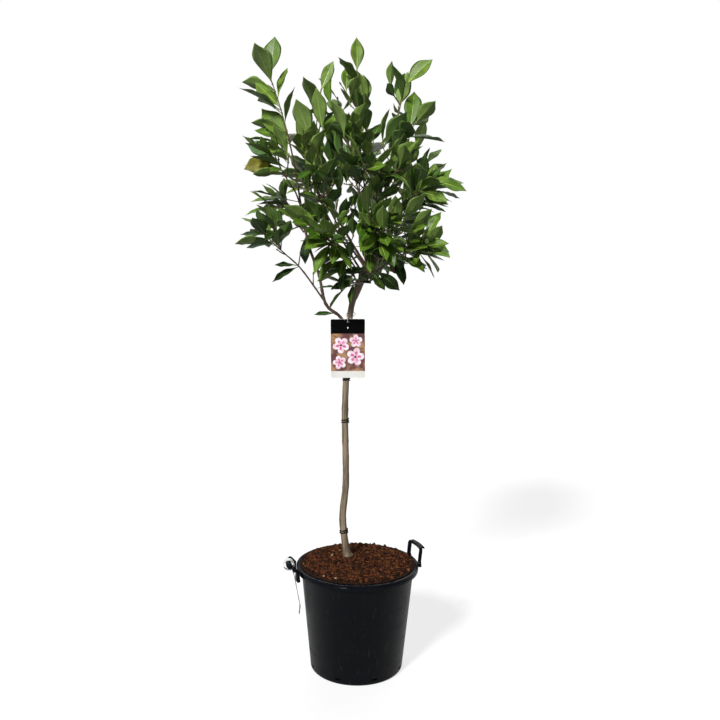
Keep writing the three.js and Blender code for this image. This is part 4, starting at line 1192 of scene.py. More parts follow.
def leaf_looks(tint, colours):
    """The three finishes of a leaf: a glossy upper side, a dull under side, a pale rib."""
    looks = []
    for part, (patches, rest) in PARTS.items():
        name = f"leaf_{tint}" if part == "upper" else f"leaf_{tint}_{part}"
        colour = np.array(colours[part])
        looks.append(finish(name, colour, colour * patches, **rest))
    return looks


looks = {tint: leaf_looks(tint, colours) for tint, colours in TINTS.items()}
print("leaf finishes:", sum(map(len, looks.values())))

# %% [markdown]
# How new a leaf is follows from how high it stands and how near the end of its shoot
# it grows, with some chance. Four steps from deep to young are enough for the eye.

# %% Dealing out the tints
LIMITS = [0.25, 0.48, 0.72]  # newness where the next tint begins
LOW_MASSES = ("low", "front", "right_low", "front_left")  # newer growth near the pruned head
LOW_MORE = 0.3
CROWN = {"foot": 1350, "height": 520, "middle": (-50, 20), "radius": 330}
COUNTS = {"height": 0.5, "share": 0.2, "outside": 0.25, "chance": 0.3}  # what makes a leaf new
TINT_SEED = 5


def newness(leaf, chance):
    """From 0, old and shaded, to 1, just unfolded in the light."""
    height = (leaf["foot"][2] - CROWN["foot"]) / CROWN["height"]
    outside = np.hypot(*(leaf["foot"][:2] - CROWN["middle"])) / CROWN["radius"]
    value = COUNTS["height"] * height + COUNTS["share"] * leaf["share"] + COUNTS["outside"] * outside
    value += chance.uniform(-COUNTS["chance"], COUNTS["chance"])
    return min(value + LOW_MORE, LIMITS[-1]) if leaf["mass"] in LOW_MASSES else value


chance = np.random.default_rng(TINT_SEED)
dealt = {tint: [] for tint in TINTS}
every_leaf = lone + [leaf for name in crown for leaf in leaves_of(name)]
for leaf in every_leaf:
    step = int(np.searchsorted(LIMITS, newness(leaf, chance)))
    dealt[leaf.get("tint") or STEPS[step]].append(leaf)
for tint, leaves in dealt.items():
    piece = leaf_piece(f"leaves_{tint}", leaves, looks[tint], chance)
    print(tint, len(leaves), "leaves,", triangles(piece), "triangles")

# %% [markdown]
# ## Twigs and buds
# A leading shoot tapers from its bough's tip to its end bud. The wood is brown below
# and green near the end, with a swelling where each leaf stalk stands. Each tube starts
# a little inside the limb it grows from, as real wood does.

# %% Twigs
TWIG = {  # sizes in mm, and the shares of the way that are brown
    "sides": 10, "tip": 1.5, "side_foot": 2.3, "steps": 8, "ring_step": 4.0, "knot": 0.7, "knot_half": 3,
    "brown": 0.55, "side_brown": 0.4,
}
BUD = {"rings": 8, "sides": 8, "fullest": 0.6, "blunt": 0.8, "least": 0.12}
END_BUD = {"length": 13, "thick": 2.6}
SIDE_BUD = {"length": 5, "thick": 1.2}
SIDE_BUD_OUT, SIDE_BUD_OPEN = 1.2, 0.8  # mm from the twig's line, and how far it opens
SIDE_BUD_TURN = 40  # radians from foot to tip, so that buds stand on all sides
BROWN, GREEN = range(2)


def twig_skin(line, foot, tip, knots):
    """A smooth twig through a coarse line; `knots` are the shares where leaves stand."""
    smooth = spline(line, TWIG["steps"])
    points, radii, way = even_steps(smooth, np.linspace(foot, tip, len(smooth)), TWIG["ring_step"])
    share = way / way[-1]
    for knot in knots:
        radii = radii + TWIG["knot"] * np.exp(-(((share - knot) * way[-1] / TWIG["knot_half"]) ** 2))
    return tube(points, radii, TWIG["sides"])


def bud_skin(place, heading, length, thick):
    """A pointed bud: a spindle, fullest near its foot."""
    share = np.linspace(0, 1, BUD["rings"])
    profile = thick * np.sin(math.pi * share ** BUD["fullest"]) ** BUD["blunt"] + BUD["least"]
    return tube(place + heading * (length * share)[:, None], profile, BUD["sides"])


twigs = Heap()
buds = Heap()
for name, grown in crown.items():
    for index, shoot in enumerate(grown["shoots"]):
        line = shoot["line"]
        knots = [leaf["share"] for leaf in shoot["grown"]]
        foot = TWIG["side_foot"] if index or masses[name]["root"] else BOUGHS[masses[name]["on"]][2]
        skin = twig_skin(line, foot, TWIG["tip"], knots)
        along = np.linspace(0, 1, len(skin[1]))
        twigs.add(skin, np.where(along > TWIG["side_brown" if index else "brown"], GREEN, BROWN))
        place, heading = station_on(line, 1)
        buds.add(bud_skin(place, heading, **END_BUD))
        for knot in knots[:-1]:
            place, heading = station_on(line, knot)
            side = spoke_of(heading, SIDE_BUD_TURN * knot)
            opened = unit(heading + side * SIDE_BUD_OPEN)
            buds.add(bud_skin(place + side * SIDE_BUD_OUT, opened, **SIDE_BUD))
twig_piece = belongs(twigs.piece("twigs", [TWIG_LOOK, SPRIG_LOOK]), "young_bark", *FOLIAGE)
bud_piece = belongs(buds.piece("buds", [BUD_LOOK]), "foliage", *FOLIAGE)
print("twigs:", triangles(twig_piece), "buds:", triangles(bud_piece), "triangles")

# %% [markdown]
# ## The container
# A nursery pot is moulded from black plastic: a thin tapering wall, a rim turned down
# to a beaded skirt, a rounded foot, and slots near the floor for water. It's a turned
# shape, so one profile swept round is exact, and the corners are small arcs because
# the mould's are: they are what catches the light. The slots and the mould's notch in
# the rim are cut afterwards with a Boolean, which leaves clean edges.

# %% The pot's profile
POT = {
    "height": 347, "rim": 200, "skirt": 18, "skirt_wall": 3.2, "skirt_step": 0.6, "groove": 1.5,
    "neck": 183.5, "foot": 151.5, "foot_round": 6, "wall": 3, "floor": 4, "steps": 144, "corner": 2.5,
}
BEADS = [("skirt", 11), ("rim", 10.5), ("rim", 9), ("bead", 7.5), ("bead", 6), ("rim", 4.5), ("rim", 0)]
CUTS = [(22.5 + 45 * k, 19, 20, 6, 12) for k in range(8)]  # turn, height, width, tall, deep
CUTS += [(247.7, 338, 2.4, 20, 1.6), (258.5, 332, 1.6, 8, 1.2)]
MOST = 0.45  # share of a side that an arc at its end may use


def wall_radius(height):
    """Outer radius of the tapering wall."""
    return POT["foot"] + (POT["neck"] - POT["foot"]) * height / (POT["height"] - POT["skirt"])


def turned(profile, steps):
    """A turned skin from a row of (radius, height) points that starts and ends on the axis."""
    profile = np.array(profile, float)
    points, faces = ring_skin(round_axis(profile[1:-1, :1], round_turns(steps), profile[1:-1, 1:]))
    points[-2:] = [(0, 0, profile[0, 1]), (0, 0, profile[-1, 1])]
    return points, faces


def rounded(corners, radius, steps=4):
    """Replaces each inner corner of a row by a small arc."""
    corners = np.array(corners, float)
    row = [corners[0]]
    for before, corner, after in zip(corners, corners[1:], corners[2:]):
        back, ahead = before - corner, after - corner
        reach = min(radius, MOST * np.linalg.norm(back), MOST * np.linalg.norm(ahead))
        entry, leave = corner + unit(back) * reach, corner + unit(ahead) * reach
        for t in np.linspace(0, 1, steps):
            row.append(entry * (1 - t) ** 2 + 2 * corner * t * (1 - t) + leave * t**2)
    row.append(corners[-1])
    return np.array(row)


top = POT["height"]
under = top - POT["skirt_wall"]
inside = POT["rim"] - POT["skirt_wall"]
bead = POT["rim"] - POT["groove"]
outside = {"rim": POT["rim"], "bead": bead, "skirt": bead + POT["skirt_step"]}
profile = rounded([
    (0, 0), (POT["foot"] - POT["foot_round"], 0), (POT["foot"], POT["foot_round"]),
    (wall_radius(under), under), (inside, under), (inside, top - POT["skirt"]),
    (outside["skirt"], top - POT["skirt"]), *[(outside[place], top - down) for place, down in BEADS],
    (wall_radius(top) - POT["wall"], top), (wall_radius(POT["floor"]) - POT["wall"], POT["floor"]),
    (0, POT["floor"]),
], POT["corner"])
print("points in the pot's profile:", len(profile))

# %% [markdown]
# The plastic is nearly black, a little blue, and dull from handling. Roughness follows
# the mottling, so the worn patches are also duller than the clean plastic between them.
# Here and there the wall is scuffed, where pots rub against each other: pale upright
# marks, from a second mottling drawn out along the height.

# %% The pot
WALL_LOOK = finish(
    "black_plastic", (3, 5, 8), (9, 11, 15), scale=14, rough=(0.42, 0.55), relief_scale=900, depth=0.1,
    stretch=(1, 1, 2.5), span=(0.5, 0.8), specular=0.07,
)
add_marks(WALL_LOOK, (31, 33, 33), scale=170, stretch=(1, 1, 0.12), span=(0.6, 0.74))
RIM_LOOK = finish(
    "rim_plastic", (4, 6, 11), (9, 12, 18), scale=20, rough=(0.12, 0.22), relief_scale=900, depth=0.1,
    specular=0.05,
)
CUT_PAST = 6  # mm that a cutter stands out, so that it cuts clean through the surface
SLACK = 1  # mm, so that points on a border count as past it
POT_CREASE = 40  # degrees


def box_skin(low, high):
    """A plain box."""
    corners = np.array([(x, y, z) for x in (0, 1) for y in (0, 1) for z in (0, 1)], float)
    faces = np.array([(0, 1, 3, 2), (4, 6, 7, 5), (0, 4, 5, 1), (2, 3, 7, 6), (0, 2, 6, 4), (1, 5, 7, 3)])
    return low + corners * (np.array(high) - low), faces


def spin(points, degrees):
    """Turns points about the pot's axis."""
    turn = math.radians(degrees)
    x, y = math.cos(turn), math.sin(turn)
    return points @ np.array([[x, y, 0], [-y, x, 0], [0, 0, 1]])


cutters = Heap()
for turn, up, width, tall, deep in CUTS:
    surface = wall_radius(up) if up < top - POT["skirt"] else POT["rim"]
    block, faces = box_skin(
        (surface - deep, -width / 2, up - tall / 2), (surface + CUT_PAST, width / 2, up + tall / 2))
    cutters.add((spin(block, turn), faces))
cutter = cutters.piece("cutters", [WALL_LOOK, RIM_LOOK])
points, faces = turned(profile, POT["steps"])
is_rim = points[faces[:, 0], 2] > top - POT["skirt"] - SLACK
pot = mesh_object("container", points, faces, [WALL_LOOK, RIM_LOOK], is_rim)
cut = pot.modifiers.new("cut", "BOOLEAN")
cut.object = cutter
cut.solver = "EXACT"
pot.data = bpy.data.meshes.new_from_object(pot.evaluated_get(bpy.context.evaluated_depsgraph_get()))
pot.modifiers.clear()
bpy.data.objects.remove(cutter)
pot.data.shade_smooth()
pot.data.set_sharp_from_angle(angle=math.radians(POT_CREASE))
belongs(pot, "pot_plastic", "pot")
print("pot:", triangles(pot), "triangles")

# %% [markdown]
# The two handles are arches over the rim. A bevelled bar is drawn flat, up one leg,
# along the grip and down the other, then bent round the rim and leaned outwards. A lip
# stands out from the grip's top edge, to spare the hand. The right one stands upright.
# The left one has slid down and been pushed out.

# %% The handles
HANDLE = {
    "sweep": 28, "stand": 2.5, "tall": 46, "drop": 16, "thick": 10, "leg": 12, "grip": 9,
    "lip": 9, "lip_thick": 3.5, "lip_inside": 4, "lip_points": 40, "foot": 9, "corner": 9, "narrowing": 8,
    "ring_step": 2.0,
}
HANDLES = {
    "handle_right": {"from": 6, "lean": 6, "sunk": 0},
    "handle_left": {"from": 176.5, "lean": 45, "sunk": 16},
}
BEVEL = 1.4


def bar_skin(line, spans, inner, outer):
    """A bar with bevelled edges along a flat line (x, up): its spans, and its depth outwards."""
    ahead = unit(np.gradient(line, axis=0))
    across = np.stack([ahead[:, 1], -ahead[:, 0]], -1)
    corner = np.array([(1, -1), (1, -1), (1, 1), (1, 1), (-1, 1), (-1, 1), (-1, -1), (-1, -1)])
    nudge = BEVEL * np.array([(1, 0), (0, 1), (0, 1), (1, 0), (1, 0), (0, 1), (0, 1), (1, 0)])
    half = np.stack([np.broadcast_to(spans, len(line)) / 2, np.full(len(line), (outer - inner) / 2)], -1)
    flat = corner[None] * (half[:, None] - nudge[None])
    place = line[:, None] + across[:, None] * flat[..., :1]
    return ring_skin(np.stack([place[..., 0], (inner + outer) / 2 + flat[..., 1], place[..., 1]], -1))


def bend_round_rim(points, place):
    """Bends a flat shape (along the rim, outwards, up) round the rim, then leans it."""
    middle = math.radians(place["from"] + HANDLE["sweep"] / 2)
    lean = math.radians(place["lean"])
    along, outward, up = points.T
    rise = np.maximum(up, 0)
    tipped_out = outward * np.where(up > 0, math.cos(lean), 1) + rise * math.sin(lean)
    radius = POT["rim"] + HANDLE["stand"] + tipped_out
    height = np.where(up > 0, rise * math.cos(lean) - outward * math.sin(lean), up)
    turn = middle - along / POT["rim"]
    return round_axis(radius, turn, POT["height"] + height)


half_sweep = math.radians(HANDLE["sweep"]) * POT["rim"] / 2
leg_x = half_sweep - HANDLE["leg"] / 2
for name, place in HANDLES.items():
    drop, tall = HANDLE["drop"] + place["sunk"], HANDLE["tall"] - place["sunk"]
    grip_up = tall - HANDLE["grip"] / 2
    route = [(-leg_x, -drop), (-leg_x, grip_up), (leg_x, grip_up), (leg_x, -drop)]
    arch = rounded(route, HANDLE["corner"], 8)
    arch = even_steps(np.column_stack([arch, arch[:, 0]]), arch[:, 0], HANDLE["ring_step"])[0][:, :2]
    spans = np.interp(arch[:, 1], [-drop, 0, grip_up - HANDLE["narrowing"], grip_up],
                      [HANDLE["leg"] + 2 * HANDLE["foot"], HANDLE["leg"], HANDLE["leg"], HANDLE["grip"]])
    edge = np.linspace(HANDLE["corner"] - half_sweep, half_sweep - HANDLE["corner"], HANDLE["lip_points"])
    lip = np.column_stack([edge, np.full(len(edge), tall - HANDLE["lip_thick"] / 2)])
    handle = Heap()
    for points, faces in (
        bar_skin(arch, spans, 0, HANDLE["thick"]),
        bar_skin(lip, HANDLE["lip_thick"], HANDLE["thick"] - HANDLE["lip_inside"],
                 HANDLE["thick"] + HANDLE["lip"]),
    ):
        handle.add((bend_round_rim(points, place), faces))
    belongs(handle.piece(f"{name}_bar", [RIM_LOOK], crease=50), "pot_plastic", name)
print("handles:", len(HANDLES))

# %% [markdown]
# ## The soil
# The pot is filled to its rim with coarse potting soil: coconut fibre, bark crumbs and
# a few pale specks. The bed itself is a mounded disc with a lumpy surface. What makes
# it look loose is on top: thousands of crumbs and fibres, each its own little skin,
# half sunk in the bed, gathered in one piece.

# %% The bed
SOIL = {"spill": 188, "edge": 350, "mound": 3, "crumb": 2, "shoulder": 5, "rings": 80, "steps": 240}
GAP = 0.3  # to the pot
SWELLS = (13, 29, 11, 23)  # mm, slow swells that cross the bed slantwise
soil_chance = np.random.default_rng(21)
WAVE_SIZES = np.geomspace(8, 60, 16)  # mm
WAVES = [(soil_chance.uniform(0, 2 * math.pi, 3), size) for size in WAVE_SIZES]
FULL_WAVE = 50  # mm, the size of a wave that has full height
STRETCHED = 0.8  # the lumps are a little longer one way


def soil_height(x, y):
    """Height of the bed's surface."""
    rise = np.clip(1 - (x * x + y * y) / SOIL["spill"] ** 2, 0, 1)
    lumps = np.sin(x / SWELLS[0] + y / SWELLS[1]) + np.sin(y / SWELLS[2] - x / SWELLS[3])
    for (heading, first, second), size in WAVES:
        along = x * math.cos(heading) + y * math.sin(heading)
        beside = y * math.cos(heading) - x * math.sin(heading)
        pitch = 2 * math.pi / size
        wave = np.sin(pitch * along + first) * np.sin(STRETCHED * pitch * beside + second)
        lumps = lumps + size / FULL_WAVE * wave
    mound = (SOIL["mound"] + SOIL["crumb"] * lumps) * rise
    return SOIL["edge"] + mound + SOIL["shoulder"] * np.sqrt(rise)


def level_ring(radius, height):
    """One ring of the bed's wall."""
    return round_axis(radius, round_turns(SOIL["steps"]), height)


floor_up, brim = POT["floor"] + GAP, POT["height"] + GAP
rings = [level_ring(wall_radius(up) - POT["wall"] - GAP, up) for up in (floor_up, brim)]
rings.append(level_ring(SOIL["spill"], brim))
for share in np.linspace(1, 0.01, SOIL["rings"]):
    ring = level_ring(share * SOIL["spill"], 0)
    ring[:, 2] = soil_height(ring[:, 0], ring[:, 1])
    rings.append(ring)
SOIL_FINISHES = {  # name, ground, patches, scale, roughness, the relief's scale and depth, specular
    "coir": ("coir", (44, 24, 13), (26, 14, 8), 120, (0.9, 1.0), 500, 1.5, 0.1),
    "rust": ("rusty_crumbs", (90, 49, 27), (64, 34, 19), 300, (0.9, 1.0), 700, 0.8, 0.1),
    "dark": ("dark_crumbs", (24, 14, 9), (42, 25, 16), 300, (0.9, 1.0), 700, 0.8, 0.1),
    "straw": ("fibres", (128, 80, 46), (86, 50, 27), 300, (0.8, 0.95), 700, 0.3, 0.1),
    # painted shade: a near-black soil for the bed's wall and floor inside the pot
    "shaded": ("shaded_soil", (10, 7, 5), (18, 12, 9), 120, (0.9, 1.0), 500, 1.5, 0.05),
    "pale": ("pale_specks", (176, 146, 108), (140, 108, 78), 300, (0.8, 0.9), 700, 0.3, 0.5),
}
SOIL_LOOKS = {
    kind: finish(*values, specular=specular) for kind, (*values, specular) in SOIL_FINISHES.items()
}
points, faces = ring_skin(np.array(rings))
# The bed's wall and floor inside the pot, seen through the slots, take painted shade: near-black soil for the
# shade in there.
below = points[faces[:, 0], 2] < POT["height"] - SLACK
bed = mesh_object("soil_bed", points, faces, [SOIL_LOOKS["coir"], SOIL_LOOKS["shaded"]], below)
belongs(bed, "potting_soil", "soil")
print("bed:", triangles(bed), "triangles")

# %% [markdown]
# A crumb is a small ball of twelve corners, pushed out of shape. A fibre is a thin
# three-sided tube with a bend or two. Both are laid at random places on the bed, and
# none reaches over the rim.

# %% Crumbs and fibres
GOLDEN = (1 + math.sqrt(5)) / 2
NEXT_TO = 1.06  # corners of the ball with radius 1 are neighbours below this distance
LOOSE = ("coir", "rust", "dark", "straw", "pale")
CRUMB = {
    "count": 3000, "fine": (1.4, 3.4), "coarse": (3.4, 7), "fine_share": 0.75, "dents": (0.6, 1.3),
    "flat": (0.5, 1.2), "inside": 6, "lift": 0.3, "kinds": [0.3, 0.27, 0.37, 0.05, 0.01],
}
FIBRE = {
    "count": 4000, "length": (12, 40), "climb": (-0.2, 0.35), "bend": (-0.3, 0.3), "bend_rate": 3,
    "points": 5, "thick": (0.4, 1.1), "sides": 3, "inside": 24, "lift": 1.4,
    "kinds": [LOOSE.index(kind) for kind in ("rust", "rust", "straw", "dark")],
}


def ball():
    """The twenty-sided ball: its corners and faces."""
    seed = [(0, a, b * GOLDEN) for a in (-1, 1) for b in (-1, 1)]
    corners = unit(np.array([np.roll(corner, k) for k in range(3) for corner in seed]))
    gaps = np.linalg.norm(corners[:, None] - corners[None], axis=2)
    faces = []
    for i, j, k in itertools.permutations(range(12), 3):
        outward = np.dot(np.cross(corners[j] - corners[i], corners[k] - corners[i]), corners[i]) > 0
        if i < j and i < k and outward and max(gaps[i, j], gaps[j, k], gaps[k, i]) < NEXT_TO:
            faces.append((i, j, k, -1))
    return corners, np.array(faces)


def on_bed(chance, margin):
    """A random place on the bed."""
    radius = (SOIL["spill"] - margin) * math.sqrt(chance.uniform(0, 1))
    turn = chance.uniform(0, 2 * math.pi)
    x, y = radius * math.cos(turn), radius * math.sin(turn)
    return np.array([x, y, soil_height(x, y)])


BALL, BALL_FACES = ball()
loose = Heap()
for _ in range(CRUMB["count"]):
    sizes = CRUMB["fine" if soil_chance.uniform() < CRUMB["fine_share"] else "coarse"]
    size = soil_chance.uniform(*sizes)
    shape = BALL * soil_chance.uniform(*CRUMB["dents"], (len(BALL), 1)) * size
    shape = shape * soil_chance.uniform(*CRUMB["flat"], 3)
    kind = soil_chance.choice(len(LOOSE), p=CRUMB["kinds"])
    place = on_bed(soil_chance, CRUMB["inside"]) + [0, 0, CRUMB["lift"] * size]
    loose.add((shape + place, BALL_FACES), kind)
for _ in range(FIBRE["count"]):
    length = soil_chance.uniform(*FIBRE["length"])
    turn = soil_chance.uniform(0, 2 * math.pi)
    heading = np.array([math.cos(turn), math.sin(turn), soil_chance.uniform(*FIBRE["climb"])])
    side = np.array([-heading[1], heading[0], 0]) * soil_chance.uniform(*FIBRE["bend"])
    t = np.linspace(-0.5, 0.5, FIBRE["points"])[:, None]
    middle = on_bed(soil_chance, FIBRE["inside"]) + [0, 0, FIBRE["lift"]]
    strand = middle + length * (heading * t + side * np.cos(FIBRE["bend_rate"] * t))
    skin = tube(strand, soil_chance.uniform(*FIBRE["thick"]), FIBRE["sides"])
    loose.add(skin, soil_chance.choice(FIBRE["kinds"]))
crumbs = loose.piece("soil_crumbs", [SOIL_LOOKS[kind] for kind in LOOSE])
belongs(crumbs, "potting_soil", "soil")
print("crumbs and fibres:", triangles(crumbs), "triangles")

# %% [markdown]
# ## Ties
# The stem was bound at three heights with soft dark tubing, wound twice round and
# tucked in. Each is a short coil that follows the stem's slant there.

# %% The ties
TIES = {"tie_lower": 444, "tie_middle": 815, "tie_upper": 954}
TIE = {
    "stand": 1.5, "rise": 14, "strand": 1.8, "slope": 5, "turns": 2.1, "sway": 0.3, "sway_rate": 0.5,
    "points": 110, "sides": 10,
}
TIE_LOOK = finish(
    "soft_tie", (6, 4, 3), (16, 12, 9), scale=200, rough=(0.5, 0.65), relief_scale=600, depth=0.2,
    specular=0.1,
)
stem_line, stem_radii = trunk_line(TRUNK_STEPS)


def stem_at(height):
    """The stem's centre and radius at a height."""
    centre = np.array([np.interp(height, stem_line[:, 2], stem_line[:, axis]) for axis in range(3)])
    return centre, np.interp(height, stem_line[:, 2], stem_radii)


def tipped(points, degrees):
    """Turns points so that their right side comes up."""
    tip = math.radians(degrees)
    x, z = math.cos(tip), math.sin(tip)
    return points @ np.array([[x, 0, z], [0, 1, 0], [-z, 0, x]])


for name, height in TIES.items():
    centre, radius = stem_at(height)
    turns = np.linspace(0, 2 * math.pi * TIE["turns"], TIE["points"])
    across = radius + TIE["stand"] + TIE["sway"] * np.sin(turns * TIE["sway_rate"])
    up = (turns / turns[-1] - 0.5) * TIE["rise"]
    coil = tipped(round_axis(across, turns, up), TIE["slope"]) + centre
    band = mesh_object(f"{name}_band", *tube(coil, TIE["strand"], TIE["sides"]), [TIE_LOOK])
    belongs(band, "tie", name)
print("ties:", len(TIES))

# %% [markdown]
# ## The hanging card
# Nursery plants carry a picture card on a plastic loop. The card is a thin glossy
# sheet with rounded corners and a punched hole: one ring of points for its edge and
# one for the hole, on both faces, with walls between them.

# %% The card
CARD = {"width": 111, "tall": 190, "thick": 1.2, "corner": 5, "hole": 6, "hole_drop": 9,
        "top": (-41, 15, 1149), "turn": 1}
CARD_COLOURS = {  # ground, patches, and how fine they are
    "white": ((208, 207, 202), (200, 199, 194), 20),
    "black": ((3, 3, 4), (6, 6, 7), 20),
    "ground": ((86, 44, 46), (152, 114, 78), 40),
    "blush": ((190, 84, 130), (208, 140, 170), 120),
    "petal": ((230, 218, 224), (214, 182, 198), 90),
    "branch": ((52, 30, 26), (78, 50, 38), 150),
}
GLOSSY = {"rough": (0.3, 0.4), "relief_scale": 300, "depth": 0.05}
DULL = {**GLOSSY, "rough": (0.5, 0.6), "specular": 0.02}
CARD_LOOKS = {
    ink: finish(f"card_{ink}", *colours, **(DULL if ink == "black" else GLOSSY))
    for ink, colours in CARD_COLOURS.items()
}


def on_card(points, lift):
    """Places flat points (right, up from the top edge's middle) on the card's front."""
    points = np.asarray(points, float)
    flat = np.stack([points[:, 0], np.full(len(points), -CARD["thick"] / 2 - lift), points[:, 1]], -1)
    return tipped(flat, CARD["turn"]) + np.array(CARD["top"], float)


def arc(centre, radius, start, end, steps=8):
    """Points along part of a circle."""
    turns = np.radians(np.linspace(start, end, steps))
    return np.stack([centre[0] + radius * np.cos(turns), centre[1] + radius * np.sin(turns)], -1)


half_card, corner = CARD["width"] / 2, CARD["corner"]
corners = [(half_card - corner, -corner, 90), (half_card - corner, corner - CARD["tall"], 0),
           (corner - half_card, corner - CARD["tall"], -90), (corner - half_card, -corner, -180)]
edge = np.concatenate([arc((x, y), corner, start, start - 90) for x, y, start in corners])
hole = arc((0, -CARD["hole_drop"]), CARD["hole"] / 2, 45, -315, len(edge) + 1)[:-1]
front, back = 0, -CARD["thick"]
loops = [on_card(edge, back), on_card(edge, front), on_card(hole, front), on_card(hole, back)]
index = np.arange(4 * len(edge)).reshape(4, -1)
beside = np.roll(index, -1, axis=1)
faces = np.stack([index, np.roll(index, -1, axis=0), np.roll(beside, -1, axis=0), beside], -1).reshape(-1, 4)
card = mesh_object("card", np.concatenate(loops), faces, [CARD_LOOKS["white"]], crease=30)
belongs(card, "picture_card", "label")
print("card:", triangles(card), "triangles")

# %% [markdown]
# The print is a plain one: a dark band at the top, round five-petalled blossoms on
# straight twigs over a warm ground, and a white foot. It's a stock pattern that belongs
# to nobody. Each shape is a flat skin, a fraction of a millimetre in front of the one
# before, so it needs no picture. The dark band is two halves that meet at the hole's middle,
# with a pale spot below it.

# %% The card's print
HEADER_FOOT, PICTURE_FOOT, MARGIN = -47, -168, 0.8
SPOT = (-28, 2.6)  # up, radius
HOLE_CLEAR = 0.5
LAYER = 0.1  # mm, the unit of the lifts below
LIFT = {"ground": 0.5, "black": 1, "branch": 1.5, "white": 2, "petal": 2, "blush": 2.2, "heart": 5}
NEXT_PETAL = 0.4  # each petal lies so much higher than the last one
INKS = ("black", "ground", "blush", "petal", "branch", "white")
BLACK, GROUND, BLUSH, PETAL, BRANCH, WHITE = range(len(INKS))
BLOSSOMS = [  # x, up, size, turn
    (26, -71, 21, 20), (-22, -84, 27, 50), (24, -122, 29, 5), (-27, -140, 22, 35),
]
PETALS, PETAL_WIDTH = 5, 0.9  # width as a share of the length
BLUSH_LONG, BLUSH_WIDE, HEART = 0.62, 0.4, 0.13  # as shares of the blossom's size
TWIG_PRINTS = [
    ((-52, -52), (10, -76)), ((54, -92), (0, -110)), ((-50, -112), (-4, -160)), ((50, -160), (6, -128)),
]
TWIG_PRINT_WIDTH = 5


def fan(outline, lift):
    """A flat shape that can be seen whole from its middle."""
    points = on_card(np.concatenate([[np.mean(outline, axis=0)], outline]), lift * LAYER)
    ring = np.arange(1, len(outline) + 1)
    return points, np.stack([0 * ring, ring, np.roll(ring, -1), 0 * ring - 1], -1)


def disc(centre, radius):
    """The outline of a small round spot."""
    return arc(centre, radius, 0, 330, 12)


def petal(centre, turn, length, width):
    """An egg-shaped petal that starts at the blossom's heart."""
    t = round_turns(20)
    along = length * (0.5 - 0.5 * np.cos(t))
    across = -0.5 * width * np.sin(t) * (0.6 + 0.4 * along / length)
    ahead = np.array([math.cos(turn), math.sin(turn)])
    return centre + along[:, None] * ahead + across[:, None] * [-ahead[1], ahead[0]]


def half_header(side):
    """The dark band's left (-1) or right (1) half, with half the hole left out."""
    hole_rim = arc((0, -CARD["hole_drop"]), CARD["hole"] / 2 + HOLE_CLEAR, -90, 90, 9)
    outer = np.concatenate([[(0, HEADER_FOOT), (half_card - MARGIN, HEADER_FOOT)],
                            arc((half_card - corner, -corner), corner - MARGIN, 0, 90, 6), [(0, -MARGIN)]])
    outline = np.concatenate([outer, hole_rim[::-1]])
    points = on_card(outline * [side, 1], LIFT["black"] * LAYER)
    count = len(outline)
    nearest = [int(np.argmin(np.linalg.norm(hole_rim - place, axis=1))) for place in outer]
    faces = []
    for i in range(len(outer) - 1):
        first, second = count - 1 - nearest[i], count - 1 - nearest[i + 1]
        faces.append((first, i, i + 1, -1))
        for k in range(first, second, -1):
            faces.append((k, i + 1, k - 1, -1))
    return points, np.array(faces)[:, [0, 1, 2, 3] if side > 0 else [0, 2, 1, 3]]


inks = Heap()
sheet = np.array([(-1, PICTURE_FOOT), (1, PICTURE_FOOT), (1, HEADER_FOOT), (-1, HEADER_FOOT)])
inks.add(fan(sheet * [half_card - MARGIN, 1], LIFT["ground"]), GROUND)
inks.add(fan(disc((0, SPOT[0]), SPOT[1]), LIFT["white"]), WHITE)
for side in (-1, 1):
    inks.add(half_header(side), BLACK)
for first, second in TWIG_PRINTS:
    along = np.array(second, float) - first
    heading = math.atan2(along[1], along[0])
    inks.add(fan(petal(first, heading, np.hypot(*along), TWIG_PRINT_WIDTH), LIFT["branch"]), BRANCH)
for x, up, size, turn in BLOSSOMS:
    for k in range(PETALS):
        heading = math.radians(turn + 360 / PETALS * k)
        higher = NEXT_PETAL * k
        inks.add(fan(petal((x, up), heading, size, size * PETAL_WIDTH), LIFT["petal"] + higher), PETAL)
        blush = petal((x, up), heading, size * BLUSH_LONG, size * BLUSH_WIDE)
        inks.add(fan(blush, LIFT["blush"] + higher), BLUSH)
    inks.add(fan(disc((x, up), size * HEART), LIFT["heart"]), BRANCH)
print_piece = inks.piece("card_print", [CARD_LOOKS[ink] for ink in INKS])
belongs(print_piece, "picture_card")
print("print:", triangles(print_piece), "triangles")

# %% [markdown]
# The loop goes through the hole, up behind the card, round the stem and down to a
# small clasp in front.

# %% The loop
LOOP = {
    "thick": 2, "sides": 8, "steps": 8, "climb": 34, "radius": 14.5, "ply": 4.5, "lock": 5,
    "lock_corner": 0.9, "lock_sides": 16,
}
LOOP_LOOK = finish(
    "loop_plastic", (214, 212, 204), (196, 194, 186), scale=60, rough=(0.35, 0.45), relief_scale=300,
    depth=0.1,
)
x, y, card_top = CARD["top"]
hole_up = card_top - CARD["hole_drop"]
around, _ = stem_at(hole_up + LOOP["climb"])
ply, climb, reach = LOOP["ply"], LOOP["climb"], LOOP["radius"]
shut = (x, y - ply, card_top + ply)
loop_line = spline([
    shut, (x, y - ply, hole_up + ply), (x, y, hole_up), (x + 1, y + ply, hole_up + 1),
    (x + reach / 2, y + ply + 1, card_top), (around[0] + reach, around[1], hole_up + 0.7 * climb),
    (around[0], around[1] + reach, hole_up + climb), (around[0] - reach, around[1], hole_up + 0.7 * climb),
    (x - reach / 3, y + 1, card_top + 1.6 * ply), shut,
], LOOP["steps"])
lock = LOOP["lock"] / 2
clasp, clasp_faces = turned(
    rounded([(0, -lock), (lock, -lock), (lock, lock), (0, lock)], LOOP["lock_corner"]),
    LOOP["lock_sides"])
loop = Heap()
loop.add(tube(loop_line, LOOP["thick"] / 2, LOOP["sides"]))
loop.add((clasp + shut, clasp_faces))
loop_piece = belongs(loop.piece("card_loop", [LOOP_LOOK], crease=40), "loop_plastic", "label_loop")
